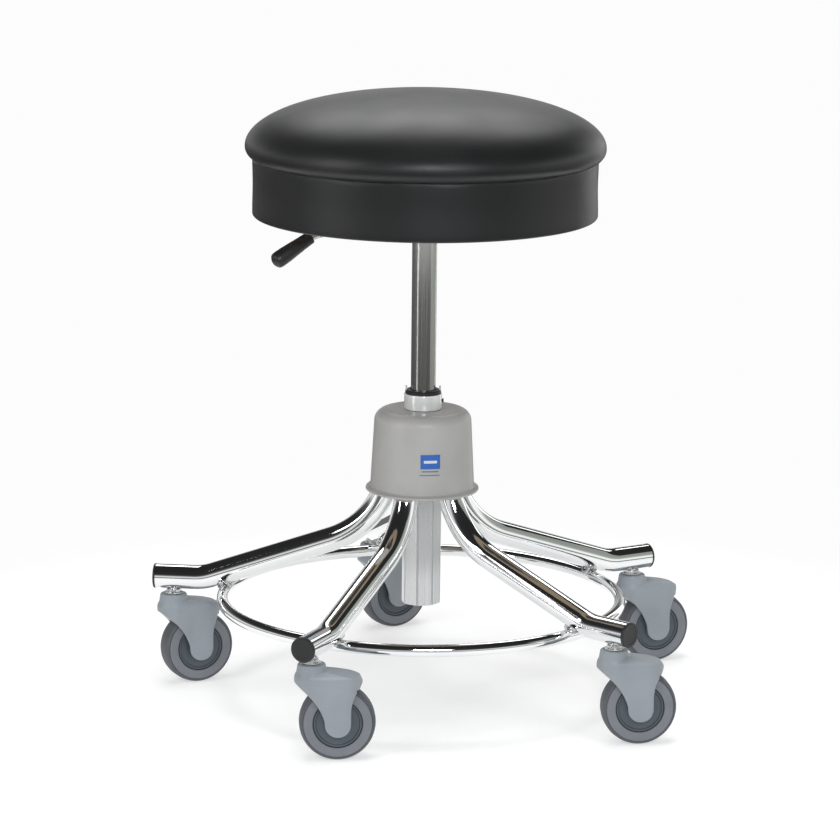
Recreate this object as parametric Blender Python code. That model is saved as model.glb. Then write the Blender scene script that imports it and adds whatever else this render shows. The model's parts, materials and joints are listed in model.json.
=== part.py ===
"""Dentist stool: round seat, gas lift, five bent tube legs, foot ring and swivel casters.

Metres, +Z up. The floor is z = 0, and the object's box is centred over the origin.
"""

import math

import bmesh
import bpy
from mathutils import Matrix, Vector

# ---- clearances -----------------------------------------------------------
GAP = 0.0003  # between neighbours that touch or are welded
RUN_GAP = 0.0004  # between pieces that slide or turn on each other

# ---- wheels and casters ---------------------------------------------------
WHEEL_RADIUS = 0.0380
TREAD_WIDTH = 0.0240
TYRE_HEIGHT = 0.0134
TRAIL = 0.0257  # swivel axis to the axle
AXLE_RADIUS = 0.0040
AXLE_SKIN = 0.0014  # fork wall left outside the axle's end
HUB_WALL = 0.0045
HUB_SIDE_GAP = 0.0006
WHEEL_SIDE_GAP = 0.0015
WHEEL_TOP_GAP = 0.0013
FORK_WALL = 0.0038
FORK_TIP_RADIUS = 0.0131
FORK_CROWN = 0.0131  # fork above the wheel's top
HOOD_PAST_AXLE = 0.0253
NECK_RADIUS = 0.0139
NECK_RISE = 0.0070  # neck above the hood's top
STEM_RADIUS = 0.0050
STEM_DEPTH = 0.0230  # stem below the neck's top
STEM_COLLAR_WIDTH = 0.0030
STEM_COLLAR_HEIGHT = 0.0052
STEM_NUT_WIDTH = 0.0018
STEM_NUT_HEIGHT = 0.0050
STEM_FROM_END = 0.0170  # swivel axis to the leg's end
SWIVEL_ANGLES = (20.5, 28.0, 25.0, 4.0, 8.0)  # degrees from +X, one for each leg
WHEEL_SEGMENTS = 28
CORE_SEGMENTS = 22

CORE_RADIUS = WHEEL_RADIUS - TYRE_HEIGHT
PLATE_INNER = TREAD_WIDTH / 2 + WHEEL_SIDE_GAP
FORK_HALF = PLATE_INNER + FORK_WALL
HOOD_TAIL = TRAIL + HOOD_PAST_AXLE
HOOD_TOP = 2 * WHEEL_RADIUS + WHEEL_TOP_GAP + FORK_CROWN
NECK_TOP = HOOD_TOP + NECK_RISE
STEM_COLLAR_RADIUS = STEM_RADIUS + STEM_COLLAR_WIDTH
STEM_NUT_RADIUS = STEM_RADIUS + STEM_NUT_WIDTH

# ---- gas lift and its bush ------------------------------------------------
CYLINDER_RADIUS = 0.0128
CYLINDER_WALL = 0.0017
CYLINDER_END = 0.0060
CYLINDER_IN_BELL = 0.0425  # cylinder's lower end below the bell's top
CYLINDER_SIDES = 24
GLAND_HEIGHT = 0.0100
BUSH_WALL = 0.0022
BUSH_IN_BELL = 0.0500  # bush's lower end below the bell's top
BUSH_FLANGE_WIDTH = 0.0032
BUSH_FLANGE_HEIGHT = 0.0038
BUSH_EAR = Vector((0.0016, 0.0060, 0.0032))
BUSH_EAR_INSET = 0.0004
ROD_RADIUS = 0.0050
ROD_END_RADIUS = 0.0040
ROD_NECK_DEPTH = 0.0010
ROD_SHOULDER_WIDTH = 0.0020
ROD_SHOULDER_HEIGHT = 0.0040
ROD_TAIL = 0.0045  # rod's end below the base plate
CLIP_WIDTH = 0.0039
CLIP_THICKNESS = 0.0018
THRUST_WIDTH = 0.0070
THRUST_HEIGHT = 0.0042
PISTON_HEIGHT = 0.0120
PISTON_LIFT = 0.0060  # piston above the gland with the seat at its highest
RELEASE_RADIUS = 0.0022
RELEASE_LENGTH = 0.0240
RELEASE_PROUD = 0.0030

BUSH_RADIUS = CYLINDER_RADIUS + RUN_GAP + BUSH_WALL
BUSH_FLANGE_RADIUS = BUSH_RADIUS + BUSH_FLANGE_WIDTH

# ---- outer column ---------------------------------------------------------
COLUMN_WALL = 0.0051  # at a corner of the octagon
COLUMN_BELOW_LEGS = 0.0168  # column's lower end below the axis of a leg's level end
COLUMN_FACES = 8
COLUMN_TURN = math.radians(-11.0)
GROOVE_WIDTH = 0.0016
GROOVE_DEPTH = 0.0011
BASE_PLATE_RISE = 0.0060
BASE_PLATE_THICKNESS = 0.0060

COLUMN_CORNER = BUSH_RADIUS + GAP + COLUMN_WALL

# ---- legs and foot ring ---------------------------------------------------
LEG_COUNT = 5
FIRST_LEG_ANGLE = math.radians(29.7)
TUBE_DIAMETER = 0.0254
TUBE_WALL = 0.0016
LEG_REACH = 0.2785  # column axis to the tube's end
LEG_SLOPE = math.radians(19.1)
STUB_LENGTH = 0.0405
SHOULDER_BEND = 0.0914
KNEE_BEND = 0.0600
PLUG_THICKNESS = 0.0025
PLUG_RIM = 0.0002  # how far a plug's flange stands proud of its tube
PLUG_TO_NUT = 0.0012
RING_RADIUS = 0.2070
RING_ROD = 0.0127
TUBE_SIDES = 12
RING_SIDES = 8
RING_SEGMENTS = 50

CASTER_REACH = LEG_REACH - STEM_FROM_END
STUB_HEIGHT = NECK_TOP + STEM_COLLAR_HEIGHT + TUBE_DIAMETER / 2
PLUG_DEPTH = STEM_FROM_END - STEM_NUT_RADIUS - PLUG_TO_NUT
LEG_TOP_RADIUS = COLUMN_CORNER + GAP + TUBE_DIAMETER / 2
KNEE_START = LEG_REACH - STUB_LENGTH
KNEE_END = KNEE_START - KNEE_BEND * math.sin(LEG_SLOPE)
KNEE_END_HEIGHT = STUB_HEIGHT + KNEE_BEND * (1 - math.cos(LEG_SLOPE))
LEG_TURN = math.pi / 2 - LEG_SLOPE
LEG_CORNER_HEIGHT = KNEE_END_HEIGHT + (KNEE_END - LEG_TOP_RADIUS) * math.tan(LEG_SLOPE)
LEG_BEND_TOP = LEG_CORNER_HEIGHT + SHOULDER_BEND * math.tan(LEG_TURN / 2)

# ---- bell, hub and collar -------------------------------------------------
BELL_TALL = 0.0852
BELL_BELOW_BEND = 0.0283  # bell's rim below the start of the legs' bends
BELL_LEG_GAP = 0.0010
BELL_WALL = 0.0025
BELL_FLARE = 0.0040
BELL_FILLET = 0.0125
BELL_RIM_WIDTH = 0.0046
BELL_RIM_THICKNESS = 0.0030
BELL_SEGMENTS = 32
HUB_THICKNESS = 0.0035
HUB_INSET = 0.0005  # hub plate's edge inside the legs' outer sides
HUB_BELOW_TOP = 0.0150  # hub plate's top below the bell's top
COLLAR_WALL = 0.0038
COLLAR_HEIGHT = 0.0158
COLLAR_SCREW_RADIUS = 0.0020
COLLAR_SCREW_PROUD = 0.0018

LEG_OUTSIDE = COLUMN_CORNER + GAP + TUBE_DIAMETER
BELL_RIM_HEIGHT = LEG_BEND_TOP - BELL_BELOW_BEND
BELL_HEIGHT = BELL_RIM_HEIGHT + BELL_TALL
BELL_TOP_RADIUS = LEG_OUTSIDE + BELL_LEG_GAP + BELL_WALL
BELL_FOOT_RADIUS = BELL_TOP_RADIUS + BELL_FLARE
BELL_RIM_RADIUS = BELL_FOOT_RADIUS + BELL_RIM_WIDTH
HUB_RADIUS = LEG_OUTSIDE - HUB_INSET
HUB_TOP = BELL_HEIGHT - HUB_BELOW_TOP
LEG_TOP_HEIGHT = HUB_TOP - HUB_THICKNESS - GAP
COLLAR_RADIUS = BUSH_RADIUS + GAP + COLLAR_WALL
CYLINDER_BOTTOM = BELL_HEIGHT - CYLINDER_IN_BELL
COLUMN_BOTTOM = STUB_HEIGHT - COLUMN_BELOW_LEGS
BASE_PLATE_LOW = COLUMN_BOTTOM + BASE_PLATE_RISE
BASE_PLATE_HIGH = BASE_PLATE_LOW + BASE_PLATE_THICKNESS
THRUST_TOP = BASE_PLATE_HIGH + GAP + THRUST_HEIGHT

# ---- seat -----------------------------------------------------------------
SEAT_BOTTOM = 0.5065  # at the seat's highest
BOXING_HEIGHT = 0.0595
BOXING_THICKNESS = 0.0040
BOXING_TURN_IN = 0.0120
CUSHION_RADIUS = 0.1845
CUSHION_OVERHANG = 0.0079  # cushion's widest line outside the boxing
CUSHION_TUCK = 0.0060  # how far the seam lies inside the widest line
CUSHION_BULGE = 0.0116  # widest line above the seam
DOME_RISE = 0.0546
DOME_POWER = 2.18
BOARD_RISE = 0.0030
BOARD_THICKNESS = 0.0120
PLATE_SIDE = 0.1500
PLATE_THICKNESS = 0.0030
PLATE_CORNER = 0.0180
SOCKET_WALL = 0.0059
SOCKET_GRIP = 0.0152  # length of the cylinder held in the socket
SCREW_FROM_EDGE = 0.0160
SCREW_RADIUS = 0.0026
SCREW_HEAD_WIDTH = 0.0026
SCREW_HEAD_HEIGHT = 0.0028
SCREW_SKIN = 0.0035  # board left over a screw's end
SEAT_SEGMENTS = 38

SEAM_HEIGHT = SEAT_BOTTOM + BOXING_HEIGHT
CUSHION_WIDEST = SEAM_HEIGHT + CUSHION_BULGE
BOXING_RADIUS = CUSHION_RADIUS - CUSHION_OVERHANG
BOARD_LOW = SEAT_BOTTOM + BOARD_RISE
BOARD_HIGH = BOARD_LOW + BOARD_THICKNESS
PLATE_HIGH = BOARD_LOW - GAP
PLATE_LOW = PLATE_HIGH - PLATE_THICKNESS
SOCKET_RADIUS = CYLINDER_RADIUS + GAP + SOCKET_WALL
SCREW_PITCH = PLATE_SIDE - 2 * SCREW_FROM_EDGE
SCREW_HEAD_RADIUS = SCREW_RADIUS + SCREW_HEAD_WIDTH
SCREW_BITE = BOARD_THICKNESS - SCREW_SKIN

# ---- release lever --------------------------------------------------------
LEVER_ANGLE = math.radians(208.0)
LEVER_RADIUS = 0.0040
LEVER_TOP_GAP = 0.0015  # room for the lever to tilt under the plate
LEVER_BOSS_WALL = 0.0022
LEVER_BOSS_SIDE = 0.0015
LEVER_SIDE_GAP = 0.00125
LEVER_INNER_END = -0.0040
LEVER_FROM_SOCKET = 0.0130  # pivot outside the socket
LEVER_STRAIGHT = 0.0120  # straight run past the pivot
LEVER_DIP = 0.0030  # fall of the rod between the plate and the grip
LEVER_BEND = 0.1250
LEVER_DROP = math.radians(29.5)
LEVER_PIN_RADIUS = 0.0023
LEVER_PIN_HEAD = 0.0013
EAR_THICKNESS = 0.0030
EAR_LENGTH = 0.0105
GRIP_FROM_BEND = 0.0055
GRIP_LENGTH = 0.0395
GRIP_WALL = 0.0019
GRIP_FLARE = 0.0020
GRIP_ROD_DEPTH = 0.0260

LEVER_BOSS_RADIUS = LEVER_RADIUS + LEVER_BOSS_WALL
LEVER_BOSS_HALF = LEVER_RADIUS + LEVER_BOSS_SIDE
LEVER_SLOT = 2 * (LEVER_RADIUS + LEVER_SIDE_GAP)
LEVER_PIVOT = SOCKET_RADIUS + LEVER_FROM_SOCKET
LEVER_STRAIGHT_END = LEVER_PIVOT + LEVER_STRAIGHT
LEVER_HEIGHT = PLATE_LOW - LEVER_TOP_GAP - LEVER_BOSS_RADIUS
GRIP_START = LEVER_BEND + GRIP_FROM_BEND
GRIP_INNER_RADIUS = LEVER_RADIUS + GRIP_WALL
GRIP_OUTER_RADIUS = GRIP_INNER_RADIUS + GRIP_FLARE
CYLINDER_TOP = LEVER_HEIGHT - LEVER_RADIUS - GAP - RELEASE_PROUD
SOCKET_BOTTOM = CYLINDER_TOP - SOCKET_GRIP


# ---- scene, materials and objects -----------------------------------------
def clear_scene():
    for obj in list(bpy.data.objects):
        bpy.data.objects.remove(obj, do_unlink=True)


def material(name, color, roughness, metallic=0.0):
    mat = bpy.data.materials.new(name)
    mat.use_nodes = True
    shader = mat.node_tree.nodes["Principled BSDF"]
    shader.inputs["Base Color"].default_value = (*color, 1.0)
    shader.inputs["Roughness"].default_value = roughness
    shader.inputs["Metallic"].default_value = metallic
    return mat


def empty(name, parent=None, location=(0, 0, 0), turn=0.0):
    obj = bpy.data.objects.new(name, None)
    bpy.context.scene.collection.objects.link(obj)
    obj.parent = parent
    obj.location = location
    obj.rotation_euler.z = turn
    return obj


def add(name, mesh, mat=None, parent=None, location=(0, 0, 0), rotation=(0, 0, 0)):
    obj = bpy.data.objects.new(name, mesh)
    bpy.context.scene.collection.objects.link(obj)
    if mat and not mesh.materials:
        mesh.materials.append(mat)
    obj.parent = parent
    obj.location = location
    obj.rotation_euler = rotation
    return obj


def finish_mesh(bm, name):
    bmesh.ops.recalc_face_normals(bm, faces=bm.faces)
    mesh = bpy.data.meshes.new(name)
    bm.to_mesh(mesh)
    bm.free()
    mesh.shade_smooth()
    mesh.set_sharp_from_angle(angle=math.radians(32))
    return mesh


def boolean(obj, other, operation):
    other.hide_render = True
    other.display_type = "WIRE"
    mod = obj.modifiers.new(operation.lower(), "BOOLEAN")
    mod.operation = operation
    mod.object = other
    mod.solver = "EXACT"


def settled_mesh(base, steps):
    """The mesh of base after its Boolean steps, each an (operation, mesh) pair."""
    work = add("work", base)
    helpers = []
    for operation, mesh in steps:
        helpers.append(add("helper", mesh))
        boolean(work, helpers[-1], operation)
    bpy.context.view_layer.update()
    graph = bpy.context.evaluated_depsgraph_get()
    result = bpy.data.meshes.new_from_object(work.evaluated_get(graph))
    for obj in (work, *helpers):
        bpy.data.objects.remove(obj, do_unlink=True)
    result.materials.clear()
    bm = bmesh.new()
    bm.from_mesh(result)
    bmesh.ops.dissolve_degenerate(bm, edges=bm.edges, dist=1e-6)
    bmesh.ops.triangulate(bm, faces=[face for face in bm.faces if len(face.verts) > 4])
    bm.to_mesh(result)
    bm.free()
    result.shade_smooth()
    result.set_sharp_from_angle(angle=math.radians(32))
    return result


# ---- shapes ---------------------------------------------------------------
def bore(radius, sides):
    """Corner radius of a polygon that a circle of this radius fits in."""
    return radius / math.cos(math.pi / sides)


def arc(cx, cy, radius, start, end, count):
    """Points along an arc, its angles in degrees."""
    points = []
    for i in range(count + 1):
        angle = math.radians(start + (end - start) * i / count)
        points.append((cx + radius * math.cos(angle), cy + radius * math.sin(angle)))
    return points


def curve(start, control, end, count):
    """Points along a quadratic curve, without its first point."""
    points = []
    for i in range(1, count + 1):
        t = i / count
        blend = Vector(start) * (1 - t) ** 2 + Vector(control) * 2 * t * (1 - t) + Vector(end) * t**2
        points.append((blend.x, blend.y))
    return points


def turned(name, profile, sides, offset=0.0, closed=True):
    """A solid of revolution about Z from (radius, z) points.

    A closed profile makes a ring; an open one starts and ends on the axis.
    """
    bm = bmesh.new()
    rings = []
    for radius, z in profile:
        if radius < 1e-7:
            rings.append([bm.verts.new((0, 0, z))])
            continue
        ring = []
        for k in range(sides):
            angle = 2 * math.pi * (k + offset) / sides
            ring.append(bm.verts.new((radius * math.cos(angle), radius * math.sin(angle), z)))
        rings.append(ring)
    pairs = list(zip(rings, rings[1:]))
    if closed:
        pairs.append((rings[-1], rings[0]))
    for first, second in pairs:
        join_rings(bm, first, second)
    return finish_mesh(bm, name)


def join_rings(bm, first, second):
    sides = max(len(first), len(second))
    for k in range(sides):
        n = (k + 1) % sides
        if len(first) == 1:
            bm.faces.new((first[0], second[k], second[n]))
        elif len(second) == 1:
            bm.faces.new((first[k], second[0], first[n]))
        else:
            bm.faces.new((first[k], second[k], second[n], first[n]))


def disc(name, radius, low, high, sides, offset=0.0):
    return turned(name, [(0, low), (radius, low), (radius, high), (0, high)], sides, offset, closed=False)


def collar_ring(name, inner, outer, low, high, sides, offset=0.0):
    profile = [(bore(inner, sides), low), (outer, low), (outer, high), (bore(inner, sides), high)]
    return turned(name, profile, sides, offset)


def prism(name, outline, low, high):
    """An outline of (x, y) points extruded from low to high in z."""
    bm = bmesh.new()
    rings = [[bm.verts.new((x, y, z)) for x, y in outline] for z in (low, high)]
    join_rings(bm, rings[0], rings[1])
    bm.faces.new(rings[0][::-1])
    bm.faces.new(rings[1])
    return finish_mesh(bm, name)


def box(name, low, high):
    outline = [(low[0], low[1]), (high[0], low[1]), (high[0], high[1]), (low[0], high[1])]
    return prism(name, outline, low[2], high[2])


def cylinder_between(name, start, end, radius, sides):
    """A round bar between two points."""
    start = Vector(start)
    axis = Vector(end) - start
    mesh = disc(name, radius, 0, axis.length, sides, offset=0.5)
    turn = Vector((0, 0, 1)).rotation_difference(axis)
    mesh.transform(Matrix.Translation(start) @ turn.to_matrix().to_4x4())
    return mesh


def swept(name, path, outer, inner, sides):
    """A round bar, or a tube where inner is set, along a path of (x, z) points."""
    bm = bmesh.new()
    skins = []
    for radius in (outer, inner):
        if radius:
            skins.append([path_ring(bm, path, i, radius, sides) for i in range(len(path))])
    for rings in skins:
        for first, second in zip(rings, rings[1:]):
            join_rings(bm, first, second)
    for end in (0, -1):
        if inner:
            join_rings(bm, skins[0][end], skins[1][end])
        else:
            bm.faces.new(skins[0][end])
    return finish_mesh(bm, name)


def path_ring(bm, path, i, radius, sides):
    """The mitred ring of a sweep at point i of its path."""
    here = Vector((path[i][0], 0, path[i][1]))
    before = Vector((path[max(i - 1, 0)][0], 0, path[max(i - 1, 0)][1]))
    after_index = min(i + 1, len(path) - 1)
    after = Vector((path[after_index][0], 0, path[after_index][1]))
    inward = (here - before).normalized() if i > 0 else (after - here).normalized()
    outward = (after - here).normalized() if i < len(path) - 1 else inward
    tangent = (inward + outward).normalized()
    stretch = 1 / max(tangent.dot(inward), 0.5)
    side = Vector((0, 1, 0))
    up = side.cross(tangent)
    ring = []
    for k in range(sides):
        angle = 2 * math.pi * (k + 0.5) / sides
        point = here + side * (radius * math.cos(angle)) + up * (radius * stretch * math.sin(angle))
        ring.append(bm.verts.new(point))
    return ring


# ---- the legs' path -------------------------------------------------------
def leg_path():
    """Centreline of a leg as (radius, z), from its top down and out to its end."""
    slope = math.degrees(LEG_SLOPE)
    turn = math.degrees(LEG_TURN)
    shoulder = arc(LEG_TOP_RADIUS + SHOULDER_BEND, LEG_BEND_TOP, SHOULDER_BEND, 180, 180 + turn, 7)
    knee = arc(KNEE_START, STUB_HEIGHT + KNEE_BEND, KNEE_BEND, 270 - slope, 270, 3)
    return [(LEG_TOP_RADIUS, LEG_TOP_HEIGHT), *shoulder, *knee, (LEG_REACH, STUB_HEIGHT)]


def ring_height():
    """The highest that the foot ring lies under the legs without touching them."""
    reach = TUBE_DIAMETER / 2 + RING_ROD / 2 + GAP
    lowest = STUB_HEIGHT
    path = leg_path()
    for (r0, z0), (r1, z1) in zip(path, path[1:]):
        for i in range(41):
            r = r0 + (r1 - r0) * i / 40
            z = z0 + (z1 - z0) * i / 40
            if abs(r - RING_RADIUS) < reach:
                lowest = min(lowest, z - math.sqrt(reach**2 - (r - RING_RADIUS) ** 2))
    return lowest


# ---- base -----------------------------------------------------------------
def build_legs(root, mats):
    leg_mesh = leg_with_stem_hole()
    plug_mesh = leg_plug()
    for k in range(LEG_COUNT):
        turn = FIRST_LEG_ANGLE + 2 * math.pi * k / LEG_COUNT
        add(f"leg_{k + 1}", leg_mesh, mats["chrome"], root, rotation=(0, 0, turn))
        add(f"leg_plug_{k + 1}", plug_mesh, mats["plug"], root, rotation=(0, 0, turn))


def leg_with_stem_hole():
    inner = TUBE_DIAMETER / 2 - TUBE_WALL
    tube = swept("leg", leg_path(), TUBE_DIAMETER / 2, inner, TUBE_SIDES)
    hole = disc("stem_hole", bore(STEM_RADIUS + GAP, 12), STUB_HEIGHT - TUBE_DIAMETER, STUB_HEIGHT, 12)
    hole.transform(Matrix.Translation((CASTER_REACH, 0, 0)))
    return settled_mesh(tube, [("DIFFERENCE", hole)])


def leg_plug():
    """Flanged plug, turned about the tube's axis; local Z becomes the leg's outward way."""
    inner = (TUBE_DIAMETER / 2 - TUBE_WALL) * math.cos(math.pi / TUBE_SIDES) - GAP
    flange = TUBE_DIAMETER / 2 + PLUG_RIM
    profile = [
        (0, -PLUG_DEPTH),
        (inner - 0.0010, -PLUG_DEPTH),
        (inner, -PLUG_DEPTH + 0.0015),
        (inner, GAP),
        (flange, GAP),
        (flange, PLUG_THICKNESS - 0.0008),
        (flange - 0.0012, PLUG_THICKNESS),
        (0, PLUG_THICKNESS),
    ]
    mesh = turned("leg_plug", profile, TUBE_SIDES, offset=0.5, closed=False)
    lie_down = Matrix.Rotation(math.pi / 2, 4, "Y")
    mesh.transform(Matrix.Translation((LEG_REACH, 0, STUB_HEIGHT)) @ lie_down)
    return mesh


def build_ring(root, mats):
    height = ring_height()
    profile = [(RING_RADIUS + x, height + z) for x, z in arc(0, 0, RING_ROD / 2, 0, 360, RING_SIDES)[:-1]]
    turn = FIRST_LEG_ANGLE
    ring = turned("foot_ring", profile, RING_SEGMENTS)
    add("foot_ring", ring, mats["chrome"], root, rotation=(0, 0, turn))


def column_outline():
    """Octagon with a V groove along each corner."""
    points = []
    face_half = math.pi / COLUMN_FACES
    for k in range(COLUMN_FACES):
        angle = COLUMN_TURN - math.pi / 2 + 2 * math.pi * k / COLUMN_FACES
        corner = Vector((COLUMN_CORNER * math.cos(angle), COLUMN_CORNER * math.sin(angle)))
        out = corner.normalized()
        side = Vector((-out.y, out.x))
        back = GROOVE_WIDTH / 2 * math.tan(face_half)
        for shift, depth in ((-GROOVE_WIDTH / 2, back), (0, back + GROOVE_DEPTH), (GROOVE_WIDTH / 2, back)):
            point = corner + side * shift - out * depth
            points.append((point.x, point.y))
    return points


def build_column(root, mats):
    top = BELL_HEIGHT - BELL_WALL - GAP
    outline = column_outline()
    sides = len(outline)
    hole = disc("bore", bore(BUSH_RADIUS + GAP, sides), COLUMN_BOTTOM - 0.01, top + 0.01, sides)
    section = prism("outer_column", outline, COLUMN_BOTTOM, top)
    add("outer_column", settled_mesh(section, [("DIFFERENCE", hole)]), mats["aluminium"], root)

    low = BELL_HEIGHT - BUSH_IN_BELL
    flange_low = BELL_HEIGHT + GAP + COLLAR_HEIGHT + GAP
    flange_high = flange_low + BUSH_FLANGE_HEIGHT
    inner = bore(CYLINDER_RADIUS + RUN_GAP, 28)
    profile = [
        (inner, low),
        (BUSH_RADIUS, low),
        (BUSH_RADIUS, flange_low),
        (BUSH_FLANGE_RADIUS, flange_low),
        (BUSH_FLANGE_RADIUS, flange_high),
        (inner, flange_high),
    ]
    steps = []
    for side in (-1, 1):
        near = BUSH_FLANGE_RADIUS - BUSH_EAR.x - BUSH_EAR_INSET
        xs = sorted((side * near, side * (near + BUSH_EAR.x)))
        half = BUSH_EAR.y / 2
        ear = box("ear", (xs[0], -half, flange_high - 0.001), (xs[1], half, flange_high + BUSH_EAR.z))
        steps.append(("UNION", ear))
    add("column_bush", settled_mesh(turned("bush", profile, 28), steps), mats["bush"], root)

    screw_height = BELL_HEIGHT + GAP + COLLAR_HEIGHT * 0.52
    collar_low = BELL_HEIGHT + GAP
    collar = collar_ring("collar", BUSH_RADIUS + GAP, COLLAR_RADIUS, collar_low, flange_low - GAP, 28)
    screw_hole = cylinder_between(
        "screw_hole", (0, 0, screw_height), (0.03, 0, screw_height), bore(COLLAR_SCREW_RADIUS + GAP, 10), 10
    )
    add("column_collar", settled_mesh(collar, [("DIFFERENCE", screw_hole)]), mats["chrome"], root)
    screw = cylinder_between(
        "collar_screw",
        (BUSH_RADIUS + 2 * GAP, 0, screw_height),
        (COLLAR_RADIUS + COLLAR_SCREW_PROUD, 0, screw_height),
        COLLAR_SCREW_RADIUS,
        10,
    )
    add("collar_screw", screw, mats["dark_steel"], root)


def build_bell(root, mats):
    low = BELL_RIM_HEIGHT
    rim_top = low + BELL_RIM_THICKNESS
    fillet = BELL_FILLET
    shoulder = BELL_HEIGHT - fillet
    hole = bore(BUSH_RADIUS + GAP, BELL_SEGMENTS)
    outside = arc(BELL_TOP_RADIUS - fillet, shoulder, fillet, 90, 0, 4)
    inside = arc(BELL_TOP_RADIUS - fillet, shoulder, fillet - BELL_WALL, 0, 90, 4)
    profile = [
        (hole, BELL_HEIGHT),
        *outside,
        (BELL_FOOT_RADIUS, rim_top + 0.0022),
        (BELL_FOOT_RADIUS + 0.0012, rim_top),
        (BELL_RIM_RADIUS, low + 0.0014),
        (BELL_RIM_RADIUS, low),
        (BELL_FOOT_RADIUS - BELL_WALL + 0.0022, low),
        (BELL_FOOT_RADIUS - BELL_WALL, rim_top + 0.0022),
        *inside,
        (hole, BELL_HEIGHT - BELL_WALL),
    ]
    add("bell_cover", turned("bell_cover", profile, BELL_SEGMENTS), mats["bell"], root)
    plate = collar_ring("hub_plate", COLUMN_CORNER + GAP, HUB_RADIUS, HUB_TOP - HUB_THICKNESS, HUB_TOP, 32)
    add("hub_plate", plate, mats["dark_steel"], root)


# ---- gas lift -------------------------------------------------------------
def build_base_plate(root, mats):
    inner = ROD_END_RADIUS + RUN_GAP
    plate = collar_ring("base_plate", inner, BUSH_RADIUS - GAP, BASE_PLATE_LOW, BASE_PLATE_HIGH, 24)
    add("column_base_plate", plate, mats["dark_steel"], root)


def build_rod(root, mats):
    low = BASE_PLATE_LOW - ROD_TAIL
    clip_high = BASE_PLATE_LOW - GAP
    clip_low = clip_high - CLIP_THICKNESS
    neck = ROD_END_RADIUS - ROD_NECK_DEPTH
    shoulder = ROD_RADIUS + ROD_SHOULDER_WIDTH
    shoulder_low = THRUST_TOP + GAP
    piston_low = CYLINDER_BOTTOM + GLAND_HEIGHT + PISTON_LIFT
    piston_radius = CYLINDER_RADIUS - CYLINDER_WALL - RUN_GAP
    profile = [
        (0, low),
        (ROD_END_RADIUS, low),
        (ROD_END_RADIUS, clip_low - GAP),
        (neck, clip_low - GAP),
        (neck, clip_high + GAP),
        (ROD_END_RADIUS, clip_high + GAP),
        (ROD_END_RADIUS, shoulder_low),
        (shoulder, shoulder_low),
        (shoulder, shoulder_low + ROD_SHOULDER_HEIGHT),
        (ROD_RADIUS, shoulder_low + ROD_SHOULDER_HEIGHT),
        (ROD_RADIUS, piston_low),
        (piston_radius, piston_low),
        (piston_radius, piston_low + PISTON_HEIGHT),
        (0, piston_low + PISTON_HEIGHT),
    ]
    add("piston_rod", turned("piston_rod", profile, 14, closed=False), mats["steel"], root)
    inner = ROD_END_RADIUS + RUN_GAP
    outer = ROD_END_RADIUS + THRUST_WIDTH
    washer = collar_ring("thrust_washer", inner, outer, BASE_PLATE_HIGH + GAP, THRUST_TOP, 24)
    add("thrust_washer", washer, mats["steel"], root)
    outer = arc(0, 0, neck + GAP + CLIP_WIDTH, 30, 330, 16)
    inner = arc(0, 0, bore(neck + GAP, 16), 330, 30, 16)
    add("rod_clip", prism("rod_clip", outer + inner, clip_low, clip_high), mats["dark_steel"], root)


def build_cylinder(seat, mats):
    inner = CYLINDER_RADIUS - CYLINDER_WALL
    gland = bore(ROD_RADIUS + RUN_GAP, CYLINDER_SIDES)
    pin_hole = bore(RELEASE_RADIUS + RUN_GAP, CYLINDER_SIDES)
    profile = [
        (gland, CYLINDER_BOTTOM),
        (CYLINDER_RADIUS - 0.0010, CYLINDER_BOTTOM),
        (CYLINDER_RADIUS, CYLINDER_BOTTOM + 0.0015),
        (CYLINDER_RADIUS, CYLINDER_TOP),
        (pin_hole, CYLINDER_TOP),
        (pin_hole, CYLINDER_TOP - CYLINDER_END),
        (bore(inner, CYLINDER_SIDES), CYLINDER_TOP - CYLINDER_END),
        (bore(inner, CYLINDER_SIDES), CYLINDER_BOTTOM + GLAND_HEIGHT),
        (gland, CYLINDER_BOTTOM + GLAND_HEIGHT),
    ]
    add("gas_cylinder", turned("gas_cylinder", profile, CYLINDER_SIDES), mats["steel"], seat)
    top = CYLINDER_TOP + RELEASE_PROUD
    pin = disc("release_pin", RELEASE_RADIUS, top - RELEASE_LENGTH, top, 12)
    add("release_pin", pin, mats["dark_steel"], seat)


# ---- casters --------------------------------------------------------------
def fork_outline():
    """Side view of the fork as (x, z): hood, leading edge, round tip and trailing edge."""
    tip_left = TRAIL - FORK_TIP_RADIUS
    tip_right = TRAIL + FORK_TIP_RADIUS
    nose = (-FORK_HALF, HOOD_TOP - 0.0115)
    nape = (HOOD_TAIL - 0.0040, HOOD_TOP - 0.0180)
    trail_start = (tip_right, WHEEL_RADIUS + 0.0130)
    points = [(-FORK_HALF + 0.0010, HOOD_TOP - 0.0010), (-FORK_HALF, HOOD_TOP - 0.0090), nose]
    points += curve(nose, (0.0070, HOOD_TOP - 0.0280), (tip_left, WHEEL_RADIUS + 0.0020), 4)
    points += arc(TRAIL, WHEEL_RADIUS, FORK_TIP_RADIUS, 180, 360, 6)
    points += [trail_start]
    points += curve(trail_start, (tip_right + 0.0004, HOOD_TOP - 0.0265), nape, 3)
    points += [(HOOD_TAIL, HOOD_TOP - 0.0110), (HOOD_TAIL - 0.0030, HOOD_TOP - 0.0060)]
    points += [(NECK_RADIUS + 0.002, HOOD_TOP)]
    return points


def stadium(front, back, radius, count):
    """Round-ended outline along x from the arc centre at front to that at back."""
    return arc(back, 0, radius, -90, 90, count) + arc(front, 0, radius, 90, 270, count)


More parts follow.
